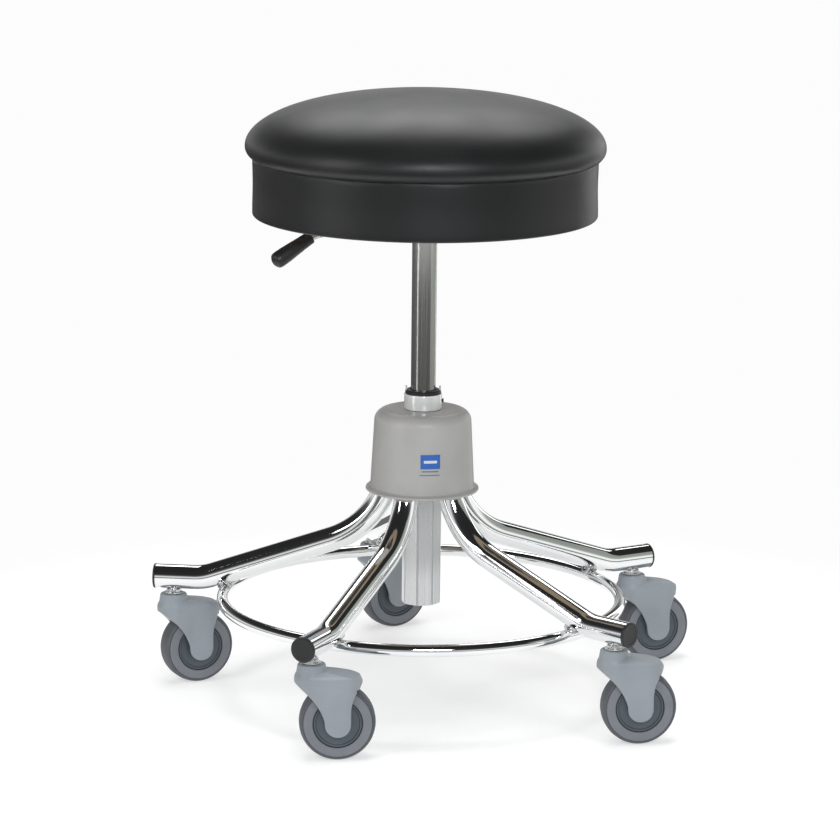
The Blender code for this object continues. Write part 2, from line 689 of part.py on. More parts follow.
def hood_blank():
    """Round-ended block with a sloping crown, which gives the hood its plan."""
    tail = HOOD_TAIL - FORK_HALF
    levels = [(0, 0), (HOOD_TOP - 0.0085, 0), (HOOD_TOP - 0.0035, 0.0030), (HOOD_TOP + 0.0005, 0.0090)]
    bm = bmesh.new()
    rings = []
    for z, inset in levels:
        outline = stadium(0, tail, FORK_HALF - inset, 6)
        rings.append([bm.verts.new((x, y, z)) for x, y in outline])
    for first, second in zip(rings, rings[1:]):
        join_rings(bm, first, second)
    bm.faces.new(rings[0][::-1])
    bm.faces.new(rings[-1])
    return finish_mesh(bm, "hood_blank")


def caster_fork():
    body = prism("fork", fork_outline(), -FORK_HALF - 0.002, FORK_HALF + 0.002)
    body.transform(Matrix.Rotation(math.pi / 2, 4, "X"))
    blank = hood_blank()
    neck_profile = [
        (0, HOOD_TOP - 0.006),
        (NECK_RADIUS + 0.0006, HOOD_TOP - 0.006),
        (NECK_RADIUS, NECK_TOP - 0.0015),
        (NECK_RADIUS - 0.0015, NECK_TOP),
        (0, NECK_TOP),
    ]
    neck = turned("neck", neck_profile, 18, closed=False)
    slot_radius = bore(WHEEL_RADIUS + WHEEL_TOP_GAP, WHEEL_SEGMENTS)
    slot = cylinder_between(
        "slot",
        (TRAIL, -PLATE_INNER, WHEEL_RADIUS),
        (TRAIL, PLATE_INNER, WHEEL_RADIUS),
        slot_radius,
        WHEEL_SEGMENTS,
    )
    stem_low = NECK_TOP - STEM_DEPTH - GAP
    stem = disc("stem_bore", bore(STEM_RADIUS + RUN_GAP, 12), stem_low, NECK_TOP + 0.01, 12)
    reach = FORK_HALF - AXLE_SKIN + GAP
    axle = cylinder_between(
        "axle_bore",
        (TRAIL, -reach, WHEEL_RADIUS),
        (TRAIL, reach, WHEEL_RADIUS),
        bore(AXLE_RADIUS + GAP, 12),
        12,
    )
    cuts = [("DIFFERENCE", mesh) for mesh in (slot, stem, axle)]
    return settled_mesh(body, [("INTERSECT", blank), ("UNION", neck), *cuts])


def caster_stem():
    """Stem with its collar under the tube and its nut inside the tube."""
    collar_low = NECK_TOP + GAP
    collar_high = STUB_HEIGHT - TUBE_DIAMETER / 2 - GAP
    inner = TUBE_DIAMETER / 2 - TUBE_WALL
    nut_low = STUB_HEIGHT - math.sqrt(inner**2 - STEM_NUT_RADIUS**2) * math.cos(math.pi / TUBE_SIDES) + GAP
    profile = [
        (0, NECK_TOP - STEM_DEPTH),
        (STEM_RADIUS, NECK_TOP - STEM_DEPTH),
        (STEM_RADIUS, collar_low),
        (STEM_COLLAR_RADIUS, collar_low),
        (STEM_COLLAR_RADIUS, collar_high),
        (STEM_RADIUS, collar_high),
        (STEM_RADIUS, nut_low),
        (STEM_NUT_RADIUS, nut_low),
        (STEM_NUT_RADIUS, nut_low + STEM_NUT_HEIGHT),
        (0, nut_low + STEM_NUT_HEIGHT),
    ]
    return turned("caster_stem", profile, 10, closed=False)


def wheel_tyre():
    half = TREAD_WIDTH / 2
    corner = bore(WHEEL_RADIUS, WHEEL_SEGMENTS)
    inner = bore(CORE_RADIUS + GAP, WHEEL_SEGMENTS)
    side = [(inner, 0.96), (corner - 0.0040, 1.0), (corner - 0.0010, 0.80), (corner, 0.42)]
    profile = [(r, -half * w) for r, w in side] + [(r, half * w) for r, w in side[::-1]]
    mesh = turned("wheel_tyre", profile, WHEEL_SEGMENTS, offset=0.5)
    mesh.transform(Matrix.Rotation(math.pi / 2, 4, "X"))
    return mesh


def wheel_core():
    hub = PLATE_INNER - HUB_SIDE_GAP
    rim = TREAD_WIDTH / 2 * 0.92
    inner = bore(AXLE_RADIUS + RUN_GAP, CORE_SEGMENTS)
    boss = AXLE_RADIUS + HUB_WALL
    side = [(inner, hub), (boss, hub), (boss + 0.0010, rim - 0.0015), (CORE_RADIUS - 0.0025, rim - 0.0015)]
    side += [(CORE_RADIUS - 0.0020, rim), (CORE_RADIUS, rim)]
    profile = [(r, -y) for r, y in side] + [(r, y) for r, y in side[::-1]]
    mesh = turned("wheel_core", profile, CORE_SEGMENTS, offset=0.5)
    mesh.transform(Matrix.Rotation(math.pi / 2, 4, "X"))
    return mesh


def build_casters(root, mats):
    fork_mesh = caster_fork()
    stem_mesh = caster_stem()
    tyre_mesh = wheel_tyre()
    core_mesh = wheel_core()
    reach = FORK_HALF - AXLE_SKIN
    axle_mesh = cylinder_between("caster_axle", (0, -reach, 0), (0, reach, 0), AXLE_RADIUS, 12)
    for k in range(LEG_COUNT):
        angle = FIRST_LEG_ANGLE + 2 * math.pi * k / LEG_COUNT
        place = (CASTER_REACH * math.cos(angle), CASTER_REACH * math.sin(angle), 0)
        swivel = empty(f"caster_{k + 1}", root, place, math.radians(SWIVEL_ANGLES[k]))
        axle_place = (TRAIL, 0, WHEEL_RADIUS)
        add(f"caster_stem_{k + 1}", stem_mesh, mats["steel"], root, place)
        add(f"caster_fork_{k + 1}", fork_mesh, mats["fork"], swivel)
        add(f"caster_axle_{k + 1}", axle_mesh, mats["dark_steel"], swivel, axle_place)
        add(f"wheel_core_{k + 1}", core_mesh, mats["core"], swivel, axle_place)
        add(f"wheel_tyre_{k + 1}", tyre_mesh, mats["tyre"], swivel, axle_place)


# ---- seat -----------------------------------------------------------------
def dome_profile():
    """The cushion from the seam up over the widest line to its crown."""
    seam = CUSHION_RADIUS - CUSHION_TUCK
    points = [(seam, SEAM_HEIGHT)]
    points += curve(points[0], (CUSHION_RADIUS, SEAM_HEIGHT + 0.002), (CUSHION_RADIUS, CUSHION_WIDEST), 3)
    steps = 9
    for i in range(1, steps + 1):
        radius = CUSHION_RADIUS * math.cos(math.pi / 2 * i / steps)
        rise = DOME_RISE * math.sqrt(1 - (radius / CUSHION_RADIUS) ** DOME_POWER)
        points.append((radius if i < steps else 0, CUSHION_WIDEST + rise))
    return points


def build_seat(seat, mats):
    inside = BOXING_RADIUS - BOXING_THICKNESS
    core = inside * math.cos(math.pi / SEAT_SEGMENTS) - GAP
    foam = [(0, BOARD_HIGH + GAP), (core, BOARD_HIGH + GAP), (core, SEAM_HEIGHT), *dome_profile()]
    add("seat_cushion", turned("seat_cushion", foam, SEAT_SEGMENTS, closed=False), mats["vinyl"], seat)

    lip_high = BOARD_LOW - GAP
    band = [
        (inside - BOXING_TURN_IN, SEAT_BOTTOM + 0.0008),
        (BOXING_RADIUS - 0.0015, SEAT_BOTTOM),
        (BOXING_RADIUS, SEAT_BOTTOM + 0.0020),
        (BOXING_RADIUS, SEAM_HEIGHT - GAP),
        (inside, SEAM_HEIGHT - GAP),
        (inside, lip_high),
        (inside - BOXING_TURN_IN, lip_high),
    ]
    add("seat_boxing", turned("seat_boxing", band, SEAT_SEGMENTS), mats["vinyl"], seat)

    board = disc("seat_board", core, BOARD_LOW, BOARD_HIGH, SEAT_SEGMENTS)
    holes = []
    for x, y in screw_places():
        reach = BOARD_LOW + SCREW_BITE
        hole = disc("screw_hole", bore(SCREW_RADIUS + GAP, 10), BOARD_LOW - 0.01, reach, 10)
        hole.transform(Matrix.Translation((x, y, 0)))
        holes.append(("DIFFERENCE", hole))
    add("seat_board", settled_mesh(board, holes), mats["board"], seat)
    build_plate(seat, mats)


def screw_places():
    """Screw axes on the seat plate, which is turned with the lever."""
    places = []
    for sx, sy in ((1, 1), (-1, 1), (-1, -1), (1, -1)):
        spot = Matrix.Rotation(LEVER_ANGLE, 2) @ Vector((sx * SCREW_PITCH / 2, sy * SCREW_PITCH / 2))
        places.append((spot.x, spot.y))
    return places


def build_plate(seat, mats):
    """Plate with the column's socket and the lever's ears, in the lever's own direction."""
    half = PLATE_SIDE / 2
    r = PLATE_CORNER
    outline = []
    for sx, sy, start in ((1, -1, -90), (1, 1, 0), (-1, 1, 90), (-1, -1, 180)):
        outline += arc(sx * (half - r), sy * (half - r), r, start, start + 90, 4)
    plate = prism("seat_plate", outline, PLATE_LOW, PLATE_HIGH)
    steps = [("UNION", disc("socket", SOCKET_RADIUS, SOCKET_BOTTOM, PLATE_LOW + 0.001, 28))]
    ear_inner = LEVER_BOSS_HALF + RUN_GAP
    for side in (-1, 1):
        ys = sorted((side * ear_inner, side * (ear_inner + EAR_THICKNESS)))
        low = (LEVER_PIVOT - EAR_LENGTH / 2, ys[0], LEVER_HEIGHT - LEVER_BOSS_RADIUS)
        high = (LEVER_PIVOT + EAR_LENGTH / 2, ys[1], PLATE_LOW + 0.001)
        steps.append(("UNION", box("ear", low, high)))
    socket_bore = disc(
        "bore", bore(CYLINDER_RADIUS + GAP, 28), SOCKET_BOTTOM - 0.01, CYLINDER_TOP + 0.0006, 28
    )
    slot = box(
        "slot",
        (LEVER_INNER_END - 0.004, -LEVER_SLOT / 2, CYLINDER_TOP - 0.001),
        (SOCKET_RADIUS + 0.004, LEVER_SLOT / 2, LEVER_HEIGHT + LEVER_RADIUS + 0.0012),
    )
    pin_hole = cylinder_between(
        "pin_hole",
        (LEVER_PIVOT, -0.02, LEVER_HEIGHT),
        (LEVER_PIVOT, 0.02, LEVER_HEIGHT),
        bore(LEVER_PIN_RADIUS + GAP, 12),
        12,
    )
    steps += [("DIFFERENCE", socket_bore), ("DIFFERENCE", slot), ("DIFFERENCE", pin_hole)]
    for sx, sy in ((1, 1), (-1, 1), (-1, -1), (1, -1)):
        hole = disc("hole", bore(SCREW_RADIUS + GAP, 10), PLATE_LOW - 0.01, PLATE_HIGH + 0.01, 10)
        hole.transform(Matrix.Translation((sx * SCREW_PITCH / 2, sy * SCREW_PITCH / 2, 0)))
        steps.append(("DIFFERENCE", hole))
    add("seat_plate", settled_mesh(plate, steps), mats["dark_steel"], seat, rotation=(0, 0, LEVER_ANGLE))

    head_high = PLATE_LOW - GAP
    profile = [
        (0, head_high - SCREW_HEAD_HEIGHT),
        (SCREW_HEAD_RADIUS * 0.75, head_high - SCREW_HEAD_HEIGHT),
        (SCREW_HEAD_RADIUS, head_high - SCREW_HEAD_HEIGHT * 0.45),
        (SCREW_HEAD_RADIUS, head_high),
        (SCREW_RADIUS, head_high),
        (SCREW_RADIUS, BOARD_LOW + SCREW_BITE - GAP),
        (0, BOARD_LOW + SCREW_BITE - GAP),
    ]
    screw = turned("plate_screw", profile, 10, closed=False)
    for k, (x, y) in enumerate(screw_places()):
        add(f"plate_screw_{k + 1}", screw, mats["steel"], seat, (x, y, 0))


def grip_frame():
    """Where the grip starts in the lever's plane, as (radius, z)."""
    bend_z = LEVER_HEIGHT - LEVER_DIP
    return GRIP_START, bend_z - (GRIP_START - LEVER_BEND) * math.tan(LEVER_DROP)


def build_lever(seat, mats):
    """Lever, grip and pin, each about the pivot's axis."""
    pivot = Vector((LEVER_PIVOT * math.cos(LEVER_ANGLE), LEVER_PIVOT * math.sin(LEVER_ANGLE), LEVER_HEIGHT))
    hinge = empty("lever_hinge", seat, pivot, LEVER_ANGLE)
    to_hinge = Matrix.Translation((-LEVER_PIVOT, 0, -LEVER_HEIGHT))
    grip_r, grip_z = grip_frame()
    along = Vector((math.cos(LEVER_DROP), -math.sin(LEVER_DROP)))
    rod_end = Vector((grip_r, grip_z)) + along * GRIP_ROD_DEPTH
    path = [
        (LEVER_INNER_END, LEVER_HEIGHT),
        (LEVER_STRAIGHT_END, LEVER_HEIGHT),
        (LEVER_BEND - 0.006, LEVER_HEIGHT - LEVER_DIP * 0.90),
        (LEVER_BEND - 0.001, LEVER_HEIGHT - LEVER_DIP - 0.0002),
        (grip_r - 0.001, grip_z + 0.001 * math.tan(LEVER_DROP)),
        (rod_end.x, rod_end.y),
    ]
    rod = swept("lever_rod", path, LEVER_RADIUS, None, 10)
    boss = cylinder_between(
        "boss",
        (LEVER_PIVOT, -LEVER_BOSS_HALF, LEVER_HEIGHT),
        (LEVER_PIVOT, LEVER_BOSS_HALF, LEVER_HEIGHT),
        LEVER_BOSS_RADIUS,
        16,
    )
    pin_hole = cylinder_between(
        "pin_hole",
        (LEVER_PIVOT, -0.02, LEVER_HEIGHT),
        (LEVER_PIVOT, 0.02, LEVER_HEIGHT),
        bore(LEVER_PIN_RADIUS + RUN_GAP, 12),
        12,
    )
    rod_mesh = settled_mesh(rod, [("UNION", boss), ("DIFFERENCE", pin_hole)])
    rod_mesh.transform(to_hinge)
    add("lever_rod", rod_mesh, mats["steel"], hinge)

    hole = bore(LEVER_RADIUS + GAP, 14)
    profile = [
        (0, GRIP_ROD_DEPTH + GAP),
        (hole, GRIP_ROD_DEPTH + GAP),
        (hole, 0),
        (GRIP_INNER_RADIUS, 0),
        (GRIP_INNER_RADIUS + 0.0006, GRIP_LENGTH * 0.15),
        (GRIP_OUTER_RADIUS, GRIP_LENGTH * 0.85),
    ]
    profile += [(r, GRIP_LENGTH + u) for r, u in arc(0, 0, GRIP_OUTER_RADIUS, 8, 90, 4)[:-1]]
    profile += [(0, GRIP_LENGTH + GRIP_OUTER_RADIUS)]
    grip = turned("lever_grip", profile, 14, offset=0.5, closed=False)
    tilt = Matrix.Rotation(math.pi / 2 + LEVER_DROP, 4, "Y")
    grip.transform(to_hinge @ Matrix.Translation((grip_r, 0, grip_z)) @ tilt)
    add("lever_grip", grip, mats["plug"], hinge)

    ear_outer = LEVER_BOSS_HALF + RUN_GAP + EAR_THICKNESS
    head = LEVER_PIN_RADIUS + LEVER_PIN_HEAD
    pin_profile = [
        (0, -ear_outer - GAP - 0.0015),
        (head, -ear_outer - GAP - 0.0015),
        (head, -ear_outer - GAP),
        (LEVER_PIN_RADIUS, -ear_outer - GAP),
        (LEVER_PIN_RADIUS, ear_outer + GAP),
        (head, ear_outer + GAP),
        (head, ear_outer + GAP + 0.0015),
        (0, ear_outer + GAP + 0.0015),
    ]
    pin = turned("lever_pin", pin_profile, 12, closed=False)
    pin.transform(Matrix.Rotation(math.pi / 2, 4, "X"))
    add("lever_pin", pin, mats["steel"], seat, pivot, (0, 0, LEVER_ANGLE))


# ---- the whole stool ------------------------------------------------------
def make_materials():
    return {
        "chrome": material("chrome", (0.80, 0.81, 0.82), 0.08, 1.0),
        "steel": material("steel", (0.60, 0.60, 0.58), 0.22, 1.0),
        "dark_steel": material("dark_steel", (0.10, 0.10, 0.11), 0.45, 0.8),
        "aluminium": material("aluminium", (0.74, 0.75, 0.76), 0.30, 1.0),
        "bell": material("bell", (0.44, 0.44, 0.42), 0.50),
        "bush": material("bush", (0.015, 0.015, 0.016), 0.45),
        "plug": material("plug", (0.018, 0.018, 0.019), 0.45),
        "fork": material("fork", (0.29, 0.32, 0.35), 0.45),
        "core": material("core", (0.07, 0.085, 0.10), 0.50),
        "tyre": material("tyre", (0.17, 0.18, 0.20), 0.65),
        "vinyl": material("vinyl", (0.012, 0.012, 0.013), 0.38),
        "board": material("board", (0.45, 0.32, 0.18), 0.70),
    }


def stand_on_origin(root):
    """Shifts the stool sideways until the middle of its box is over the origin."""
    bpy.context.view_layer.update()
    graph = bpy.context.evaluated_depsgraph_get()
    spots = []
    for obj in bpy.context.scene.objects:
        if obj.type == "MESH":
            solid = obj.evaluated_get(graph)
            spots += [solid.matrix_world @ v.co for v in solid.data.vertices]
    for axis in (0, 1):
        values = [spot[axis] for spot in spots]
        root.location[axis] = -round((min(values) + max(values)) / 2, 3)


def build():
    clear_scene()
    mats = make_materials()
    root = empty("stool")
    seat = empty("seat_group", root)
    build_legs(root, mats)
    build_ring(root, mats)
    build_column(root, mats)
    build_bell(root, mats)
    build_base_plate(root, mats)
    build_rod(root, mats)
    build_cylinder(seat, mats)
    build_casters(root, mats)
    build_seat(seat, mats)
    build_lever(seat, mats)
    stand_on_origin(root)


build()
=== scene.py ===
import json
import math

import bmesh
import bpy
import numpy as np
from mathutils import Matrix, Vector, noise


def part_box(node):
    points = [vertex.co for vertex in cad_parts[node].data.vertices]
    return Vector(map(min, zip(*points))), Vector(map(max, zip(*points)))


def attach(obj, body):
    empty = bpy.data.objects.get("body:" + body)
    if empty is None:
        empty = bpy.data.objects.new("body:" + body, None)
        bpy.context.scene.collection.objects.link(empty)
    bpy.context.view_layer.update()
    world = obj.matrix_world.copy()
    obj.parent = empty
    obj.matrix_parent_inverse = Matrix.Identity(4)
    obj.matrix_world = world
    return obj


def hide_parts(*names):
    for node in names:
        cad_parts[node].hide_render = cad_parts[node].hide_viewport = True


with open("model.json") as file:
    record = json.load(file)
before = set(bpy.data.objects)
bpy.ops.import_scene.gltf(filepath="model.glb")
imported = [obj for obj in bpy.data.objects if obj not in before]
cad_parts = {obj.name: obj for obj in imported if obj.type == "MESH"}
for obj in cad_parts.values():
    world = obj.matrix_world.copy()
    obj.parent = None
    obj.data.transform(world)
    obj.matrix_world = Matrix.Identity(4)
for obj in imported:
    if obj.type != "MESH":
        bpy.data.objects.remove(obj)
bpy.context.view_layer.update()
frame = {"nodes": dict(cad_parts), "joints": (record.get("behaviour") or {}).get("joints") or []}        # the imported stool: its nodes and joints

JOINTS = {joint["name"]: joint for joint in frame["joints"]}
COUNT = 5
MM = 0.001


# ---- places read from the frame ---------------------------------------------
BOXES = {node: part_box(node) for node in frame["nodes"]}


def low(node):
    return BOXES[node][0]


def high(node):
    return BOXES[node][1]


def heights(node):
    return low(node).z, high(node).z


def middle(node):
    return (low(node) + high(node)) / 2


AXIS = Vector(JOINTS["seat_swivel"]["pos_m"]).to_2d()
STANDING = Matrix.Translation((AXIS.x, AXIS.y, 0))
ACROSS = Matrix.Rotation(math.pi / 2, 4, "X")
ALONG = Matrix.Rotation(math.pi / 2, 4, "Y")


def pivot(joint):
    return Vector(JOINTS[joint]["pos_m"])


def leg_angle(k):
    spot = pivot(f"caster_swivel_{k}").to_2d() - AXIS
    return math.atan2(spot.y, spot.x)


def on_leg(k):
    """Frame of leg k: X out along the leg, Z up, its origin on the floor under the column."""
    return STANDING @ Matrix.Rotation(leg_angle(k), 4, "Z")


def on_caster(k):
    """Frame of caster k: X back along its trail, its origin on the floor under the swivel axis."""
    spot = pivot(f"caster_swivel_{k}")
    trail = pivot(f"wheel_spin_{k}") - spot
    turn = math.atan2(trail.y, trail.x)
    return Matrix.Translation((spot.x, spot.y, 0)) @ Matrix.Rotation(turn, 4, "Z")


# ---- shapes -----------------------------------------------------------------
def arc(cx, cy, radius, start, end, count):
    """Points along an arc, its angles in degrees."""
    points = []
    for i in range(count + 1):
        angle = math.radians(start + (end - start) * i / count)
        points.append((cx + radius * math.cos(angle), cy + radius * math.sin(angle)))
    return points


def polar(radius, angle, z):
    return radius * math.cos(angle), radius * math.sin(angle), z


def rounded(corners, count=5, closed=True):
    """Outline from (x, y, radius) corners, the radius of each in millimetres."""
    points = []
    total = len(corners)
    for i, (x, y, radius) in enumerate(corners):
        here = Vector((x, y))
        if radius <= 0 or (not closed and i in (0, total - 1)):
            points.append((x, y))
            continue
        before = Vector(corners[i - 1][:2]) - here
        after = Vector(corners[(i + 1) % total][:2]) - here
        half = before.angle(after) / 2
        reach = min(radius * MM / math.tan(half), before.length * 0.49, after.length * 0.49)
        radius = reach * math.tan(half)
        start = here + before.normalized() * reach
        end = here + after.normalized() * reach
        way = (before.normalized() + after.normalized()).normalized()
        centre = here + way * (radius / math.sin(half))
        first, last = start - centre, end - centre
        turn = math.atan2(first.y, first.x)
        sweep = math.remainder(math.atan2(last.y, last.x) - turn, 2 * math.pi)
        for step in range(count + 1):
            angle = turn + sweep * step / count
            points.append((centre.x + radius * math.cos(angle), centre.y + radius * math.sin(angle)))
    return points


def finish_mesh(bm, sharp=38):
    """The mesh of a bmesh, smooth but for its edges above an angle."""
    bmesh.ops.recalc_face_normals(bm, faces=bm.faces)
    mesh = bpy.data.meshes.new("mesh")
    bm.to_mesh(mesh)
    bm.free()
    mesh.shade_smooth()
    mesh.set_sharp_from_angle(angle=math.radians(sharp))
    return mesh


def join_rings(bm, first, second):
    sides = max(len(first), len(second))
    for k in range(sides):
        n = (k + 1) % sides
        if len(first) == 1:
            bm.faces.new((first[0], second[k], second[n]))
        elif len(second) == 1:
            bm.faces.new((first[k], second[0], first[n]))
        else:
            bm.faces.new((first[k], second[k], second[n], first[n]))


def join_all(bm, rings, closed=False):
    """Skin over a row of rings, and from the last back to the first in a closed one."""
    for first, second in zip(rings, rings[1:] + rings[: int(closed)]):
        join_rings(bm, first, second)


def ring_of(bm, radius, z, sides):
    """Ring of vertices about Z, or a single one on the axis."""
    if radius < 1e-7:
        return [bm.verts.new((0, 0, z))]
    spokes = [2 * math.pi * k / sides for k in range(sides)]
    return [bm.verts.new(polar(radius, a, z)) for a in spokes]


def turned(profile, sides=96, closed=True):
    """Solid of revolution about Z from (radius, z) points; an open one ends on the axis."""
    bm = bmesh.new()
    join_all(bm, [ring_of(bm, radius, z, sides) for radius, z in profile], closed)
    return finish_mesh(bm)


def lathed(corners, count, sides, closed=True):
    """Solid of revolution whose profile has rounded corners."""
    return turned(rounded(corners, count, closed), sides, closed)


def on_both_sides(side):
    """Closed profile from the corners of one side, mirrored to the other."""
    return [(r, -y, c) for r, y, c in side] + [(r, y, c) for r, y, c in side[::-1]]


def tube(path, radius, wall=None, sides=40, ends=0.0):
    """Round bar or tube along 3-D points; ends rounds a bar's two ends by that radius."""
    path = [Vector(p) for p in path]
    bm = bmesh.new()
    skins = [radius] if wall is None else [radius, radius - wall]
    made = []
    for skin in skins:
        side = Vector((0, 1, 0))
        rings = []
        for i, here in enumerate(path):
            before = (here - path[i - 1]).normalized() if i else (path[1] - here).normalized()
            after = (path[i + 1] - here).normalized() if i < len(path) - 1 else before
            tangent = (before + after).normalized()
            side = (side - tangent * side.dot(tangent)).normalized()
            up = tangent.cross(side)
            stretch = 1 / max(tangent.dot(before), 0.5)
            rings.append(ring_about(bm, here, side, up, skin, stretch, sides))
        made.append(rings)
    for rings in made:
        join_all(bm, rings)
    for end in (0, -1):
        if wall is not None:
            join_rings(bm, made[0][end], made[1][end])
        elif ends:
            cap_round(bm, made[0][end], path[end], path[1] if end == 0 else path[-2], ends)
        else:
            bm.faces.new(made[0][end])
    return finish_mesh(bm)


def ring_about(bm, centre, side, up, radius, stretch, sides):
    ring = []
    for k in range(sides):
        angle = 2 * math.pi * (k + 0.5) / sides
        spoke = side * math.cos(angle) + up * (math.sin(angle) * stretch)
        ring.append(bm.verts.new(centre + spoke * radius))
    return ring


def cap_round(bm, ring, centre, inner, radius):
    """Closes a bar's end with a rounded edge and a flat face."""
    out = (centre - inner).normalized()
    last = ring
    full = (ring[0].co - centre).length
    for share in (0.3, 0.6, 0.85, 1.0):
        angle = share * math.pi / 2
        inset = radius * (1 - math.cos(angle))
        rise = radius * math.sin(angle)
        scale = 1 - inset / full
        new = [bm.verts.new(centre + (v.co - centre) * scale + out * rise) for v in ring]
        join_rings(bm, last, new)
        last = new
    bm.faces.new(last)


def stacked(levels):
    """Solid through (outline, z) levels, flat at both ends."""
    bm = bmesh.new()
    rings = [[bm.verts.new((x, y, z)) for x, y in outline] for outline, z in levels]
    join_all(bm, rings)
    bm.faces.new(rings[0][::-1])
    bm.faces.new(rings[-1])
    return finish_mesh(bm)


def prism(outline, bottom, top):
    return stacked([(outline, bottom), (outline, top)])


def placed(mesh, *steps):
    """The mesh moved by matrices, the last one first."""
    whole = Matrix.Identity(4)
    for step in steps:
        whole = whole @ step
    mesh.transform(whole)
    return mesh


def linked(name, data):
    """A new object in the scene."""
    obj = bpy.data.objects.new(name, data)
    bpy.context.scene.collection.objects.link(obj)
    return obj


def show(name, mesh, mat, body, replaces=()):
    """One visible piece on a CAD body."""
    obj = linked(name, mesh)
    mesh.name = name
    mesh.materials.clear()
    mesh.materials.append(MATS[mat])
    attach(obj, body)
    if replaces:
        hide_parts(*replaces)
    return obj


# ---- materials --------------------------------------------------------------
class Shade:
    """A procedural material under construction."""

    def __init__(self, name, **sockets):
        self.mat = bpy.data.materials.new(name)
        self.mat.use_nodes = True
        self.tree = self.mat.node_tree
        self.shader = self.tree.nodes["Principled BSDF"]
        self.set(self.shader, **sockets)
        self.place = self.node("TexCoord").outputs["Object"]

    def put(self, target, value):
        if isinstance(value, bpy.types.NodeSocket):
            self.tree.links.new(value, target)
        else:
            target.default_value = value

    def set(self, node, **values):
        """Inputs of a node, each a constant or a link; _ stands for a space in a name."""
        for socket, value in values.items():
            self.put(node.inputs[socket.replace("_", " ")], value)

    def node(self, kind, **values):
        node = self.tree.nodes.new("ShaderNode" + kind)
        self.set(node, **values)
        return node

    def noise(self, scale, detail=3.0, rough=0.5, stretch=None):
        place = self.place
        if stretch:
            place = self.node("Mapping", Vector=place, Scale=stretch).outputs["Vector"]
        node = self.node("TexNoise", Vector=place, Scale=scale, Detail=detail, Roughness=rough)
        return node.outputs["Fac"]

    def cells(self, scale, feature="F1"):
        node = self.node("TexVoronoi")
        node.feature = feature
        self.set(node, Vector=self.place, Scale=scale)
        return node.outputs["Distance"]

    def remap(self, value, start, end, low_value, high_value):
        node = self.node("MapRange", Value=value, From_Min=start, From_Max=end)
        self.set(node, To_Min=low_value, To_Max=high_value)
        return node.outputs["Result"]

    def maths(self, operation, first, second=0.0):
        node = self.node("Math")
        node.operation = operation
        self.put(node.inputs[0], first)
        self.put(node.inputs[1], second)
        return node.outputs["Value"]

    def mix(self, share, first, second):
        node = self.node("Mix")
        node.data_type = "RGBA"
        self.put(node.inputs["Factor"], share)
        for socket, colour in (("A", first), ("B", second)):
            linked_in = isinstance(colour, bpy.types.NodeSocket)
            self.put(node.inputs[socket], colour if linked_in else (*colour, 1.0))
        return node.outputs["Result"]

    def finish(self, colour, gloss, height, strength, distance):
        """Links colour, roughness and relief to the shader."""
        node = self.node("Bump", Strength=strength, Distance=distance, Height=height)
        self.set(self.shader, Base_Color=colour, Roughness=gloss, Normal=node.outputs["Normal"])
        return self.mat


def chrome():
    """Bright chrome plate, with faint waves left by the tube's polishing and a little dust."""
    s = Shade("chrome_plate", Metallic=1.0)
    cloud = s.noise(9, 4)
    colour = s.mix(s.remap(cloud, 0.35, 0.7, 0, 1), (0.80, 0.81, 0.82), (0.90, 0.905, 0.90))
    dust = s.remap(s.noise(1100, 2), 0.55, 0.8, 0.0, 0.05)
    gloss = s.maths("ADD", s.remap(cloud, 0.3, 0.7, 0.035, 0.075), dust)
    return s.finish(colour, gloss, s.noise(70, 2), 0.06, 0.0006)


def weld_metal():
    """Chromed weld bead: ripples under the plate."""
    s = Shade("chromed_weld", Metallic=1.0)
    ripple = s.noise(420, 3)
    colour = s.mix(ripple, (0.42, 0.42, 0.41), (0.74, 0.74, 0.73))
    return s.finish(colour, s.remap(ripple, 0.3, 0.7, 0.12, 0.30), ripple, 0.5, 0.0007)


def collar_metal():
    """Turned collar, bright, with lathe rings."""
    s = Shade("turned_collar", Metallic=0.45)
    rings = s.noise(1, 3, stretch=(40, 40, 3200))
    colour = s.mix(rings, (0.80, 0.81, 0.81), (0.90, 0.90, 0.89))
    return s.finish(colour, s.remap(rings, 0.3, 0.7, 0.14, 0.26), rings, 0.10, 0.00008)


def polished_column():
    """Ground and polished steel, with fine lines along its length."""
    s = Shade("polished_steel", Metallic=1.0)
    lines = s.noise(1, 3, stretch=(1600, 1600, 9))
    rings = s.remap(s.noise(1, 2, stretch=(30, 30, 900)), 0.45, 0.75, 0.0, 0.04)
    colour = s.mix(lines, (0.46, 0.46, 0.44), (0.60, 0.60, 0.575))
    gloss = s.maths("ADD", s.remap(lines, 0.3, 0.7, 0.13, 0.22), rings)
    return s.finish(colour, gloss, lines, 0.10, 0.0001)


def plain_steel():
    """Zinc-plated turned steel."""
    s = Shade("plated_steel", Metallic=1.0)
    cloud = s.noise(160, 4)
    colour = s.mix(cloud, (0.55, 0.56, 0.57), (0.72, 0.72, 0.71))
    return s.finish(colour, s.remap(cloud, 0.3, 0.7, 0.20, 0.34), s.noise(300, 2), 0.06, 0.0001)


def dark_steel():
    """Black powder coat, slightly pebbled."""
    s = Shade("powder_coat", Specular_IOR_Level=0.45)
    cloud = s.noise(30, 4)
    colour = s.mix(cloud, (0.020, 0.020, 0.022), (0.045, 0.045, 0.047))
    return s.finish(colour, s.remap(cloud, 0.3, 0.7, 0.42, 0.58), s.cells(900), 0.35, 0.0002)


def satin_aluminium():
    """Anodised extrusion with die lines along its length."""
    s = Shade("anodised_extrusion", Metallic=1.0)
    lines = s.noise(1, 4, stretch=(900, 900, 4))
    wide = s.noise(1, 2, stretch=(120, 120, 2))
    colour = s.mix(wide, (0.56, 0.575, 0.58), (0.70, 0.71, 0.705))
    return s.finish(colour, s.remap(lines, 0.3, 0.7, 0.24, 0.38), lines, 0.16, 0.00015)


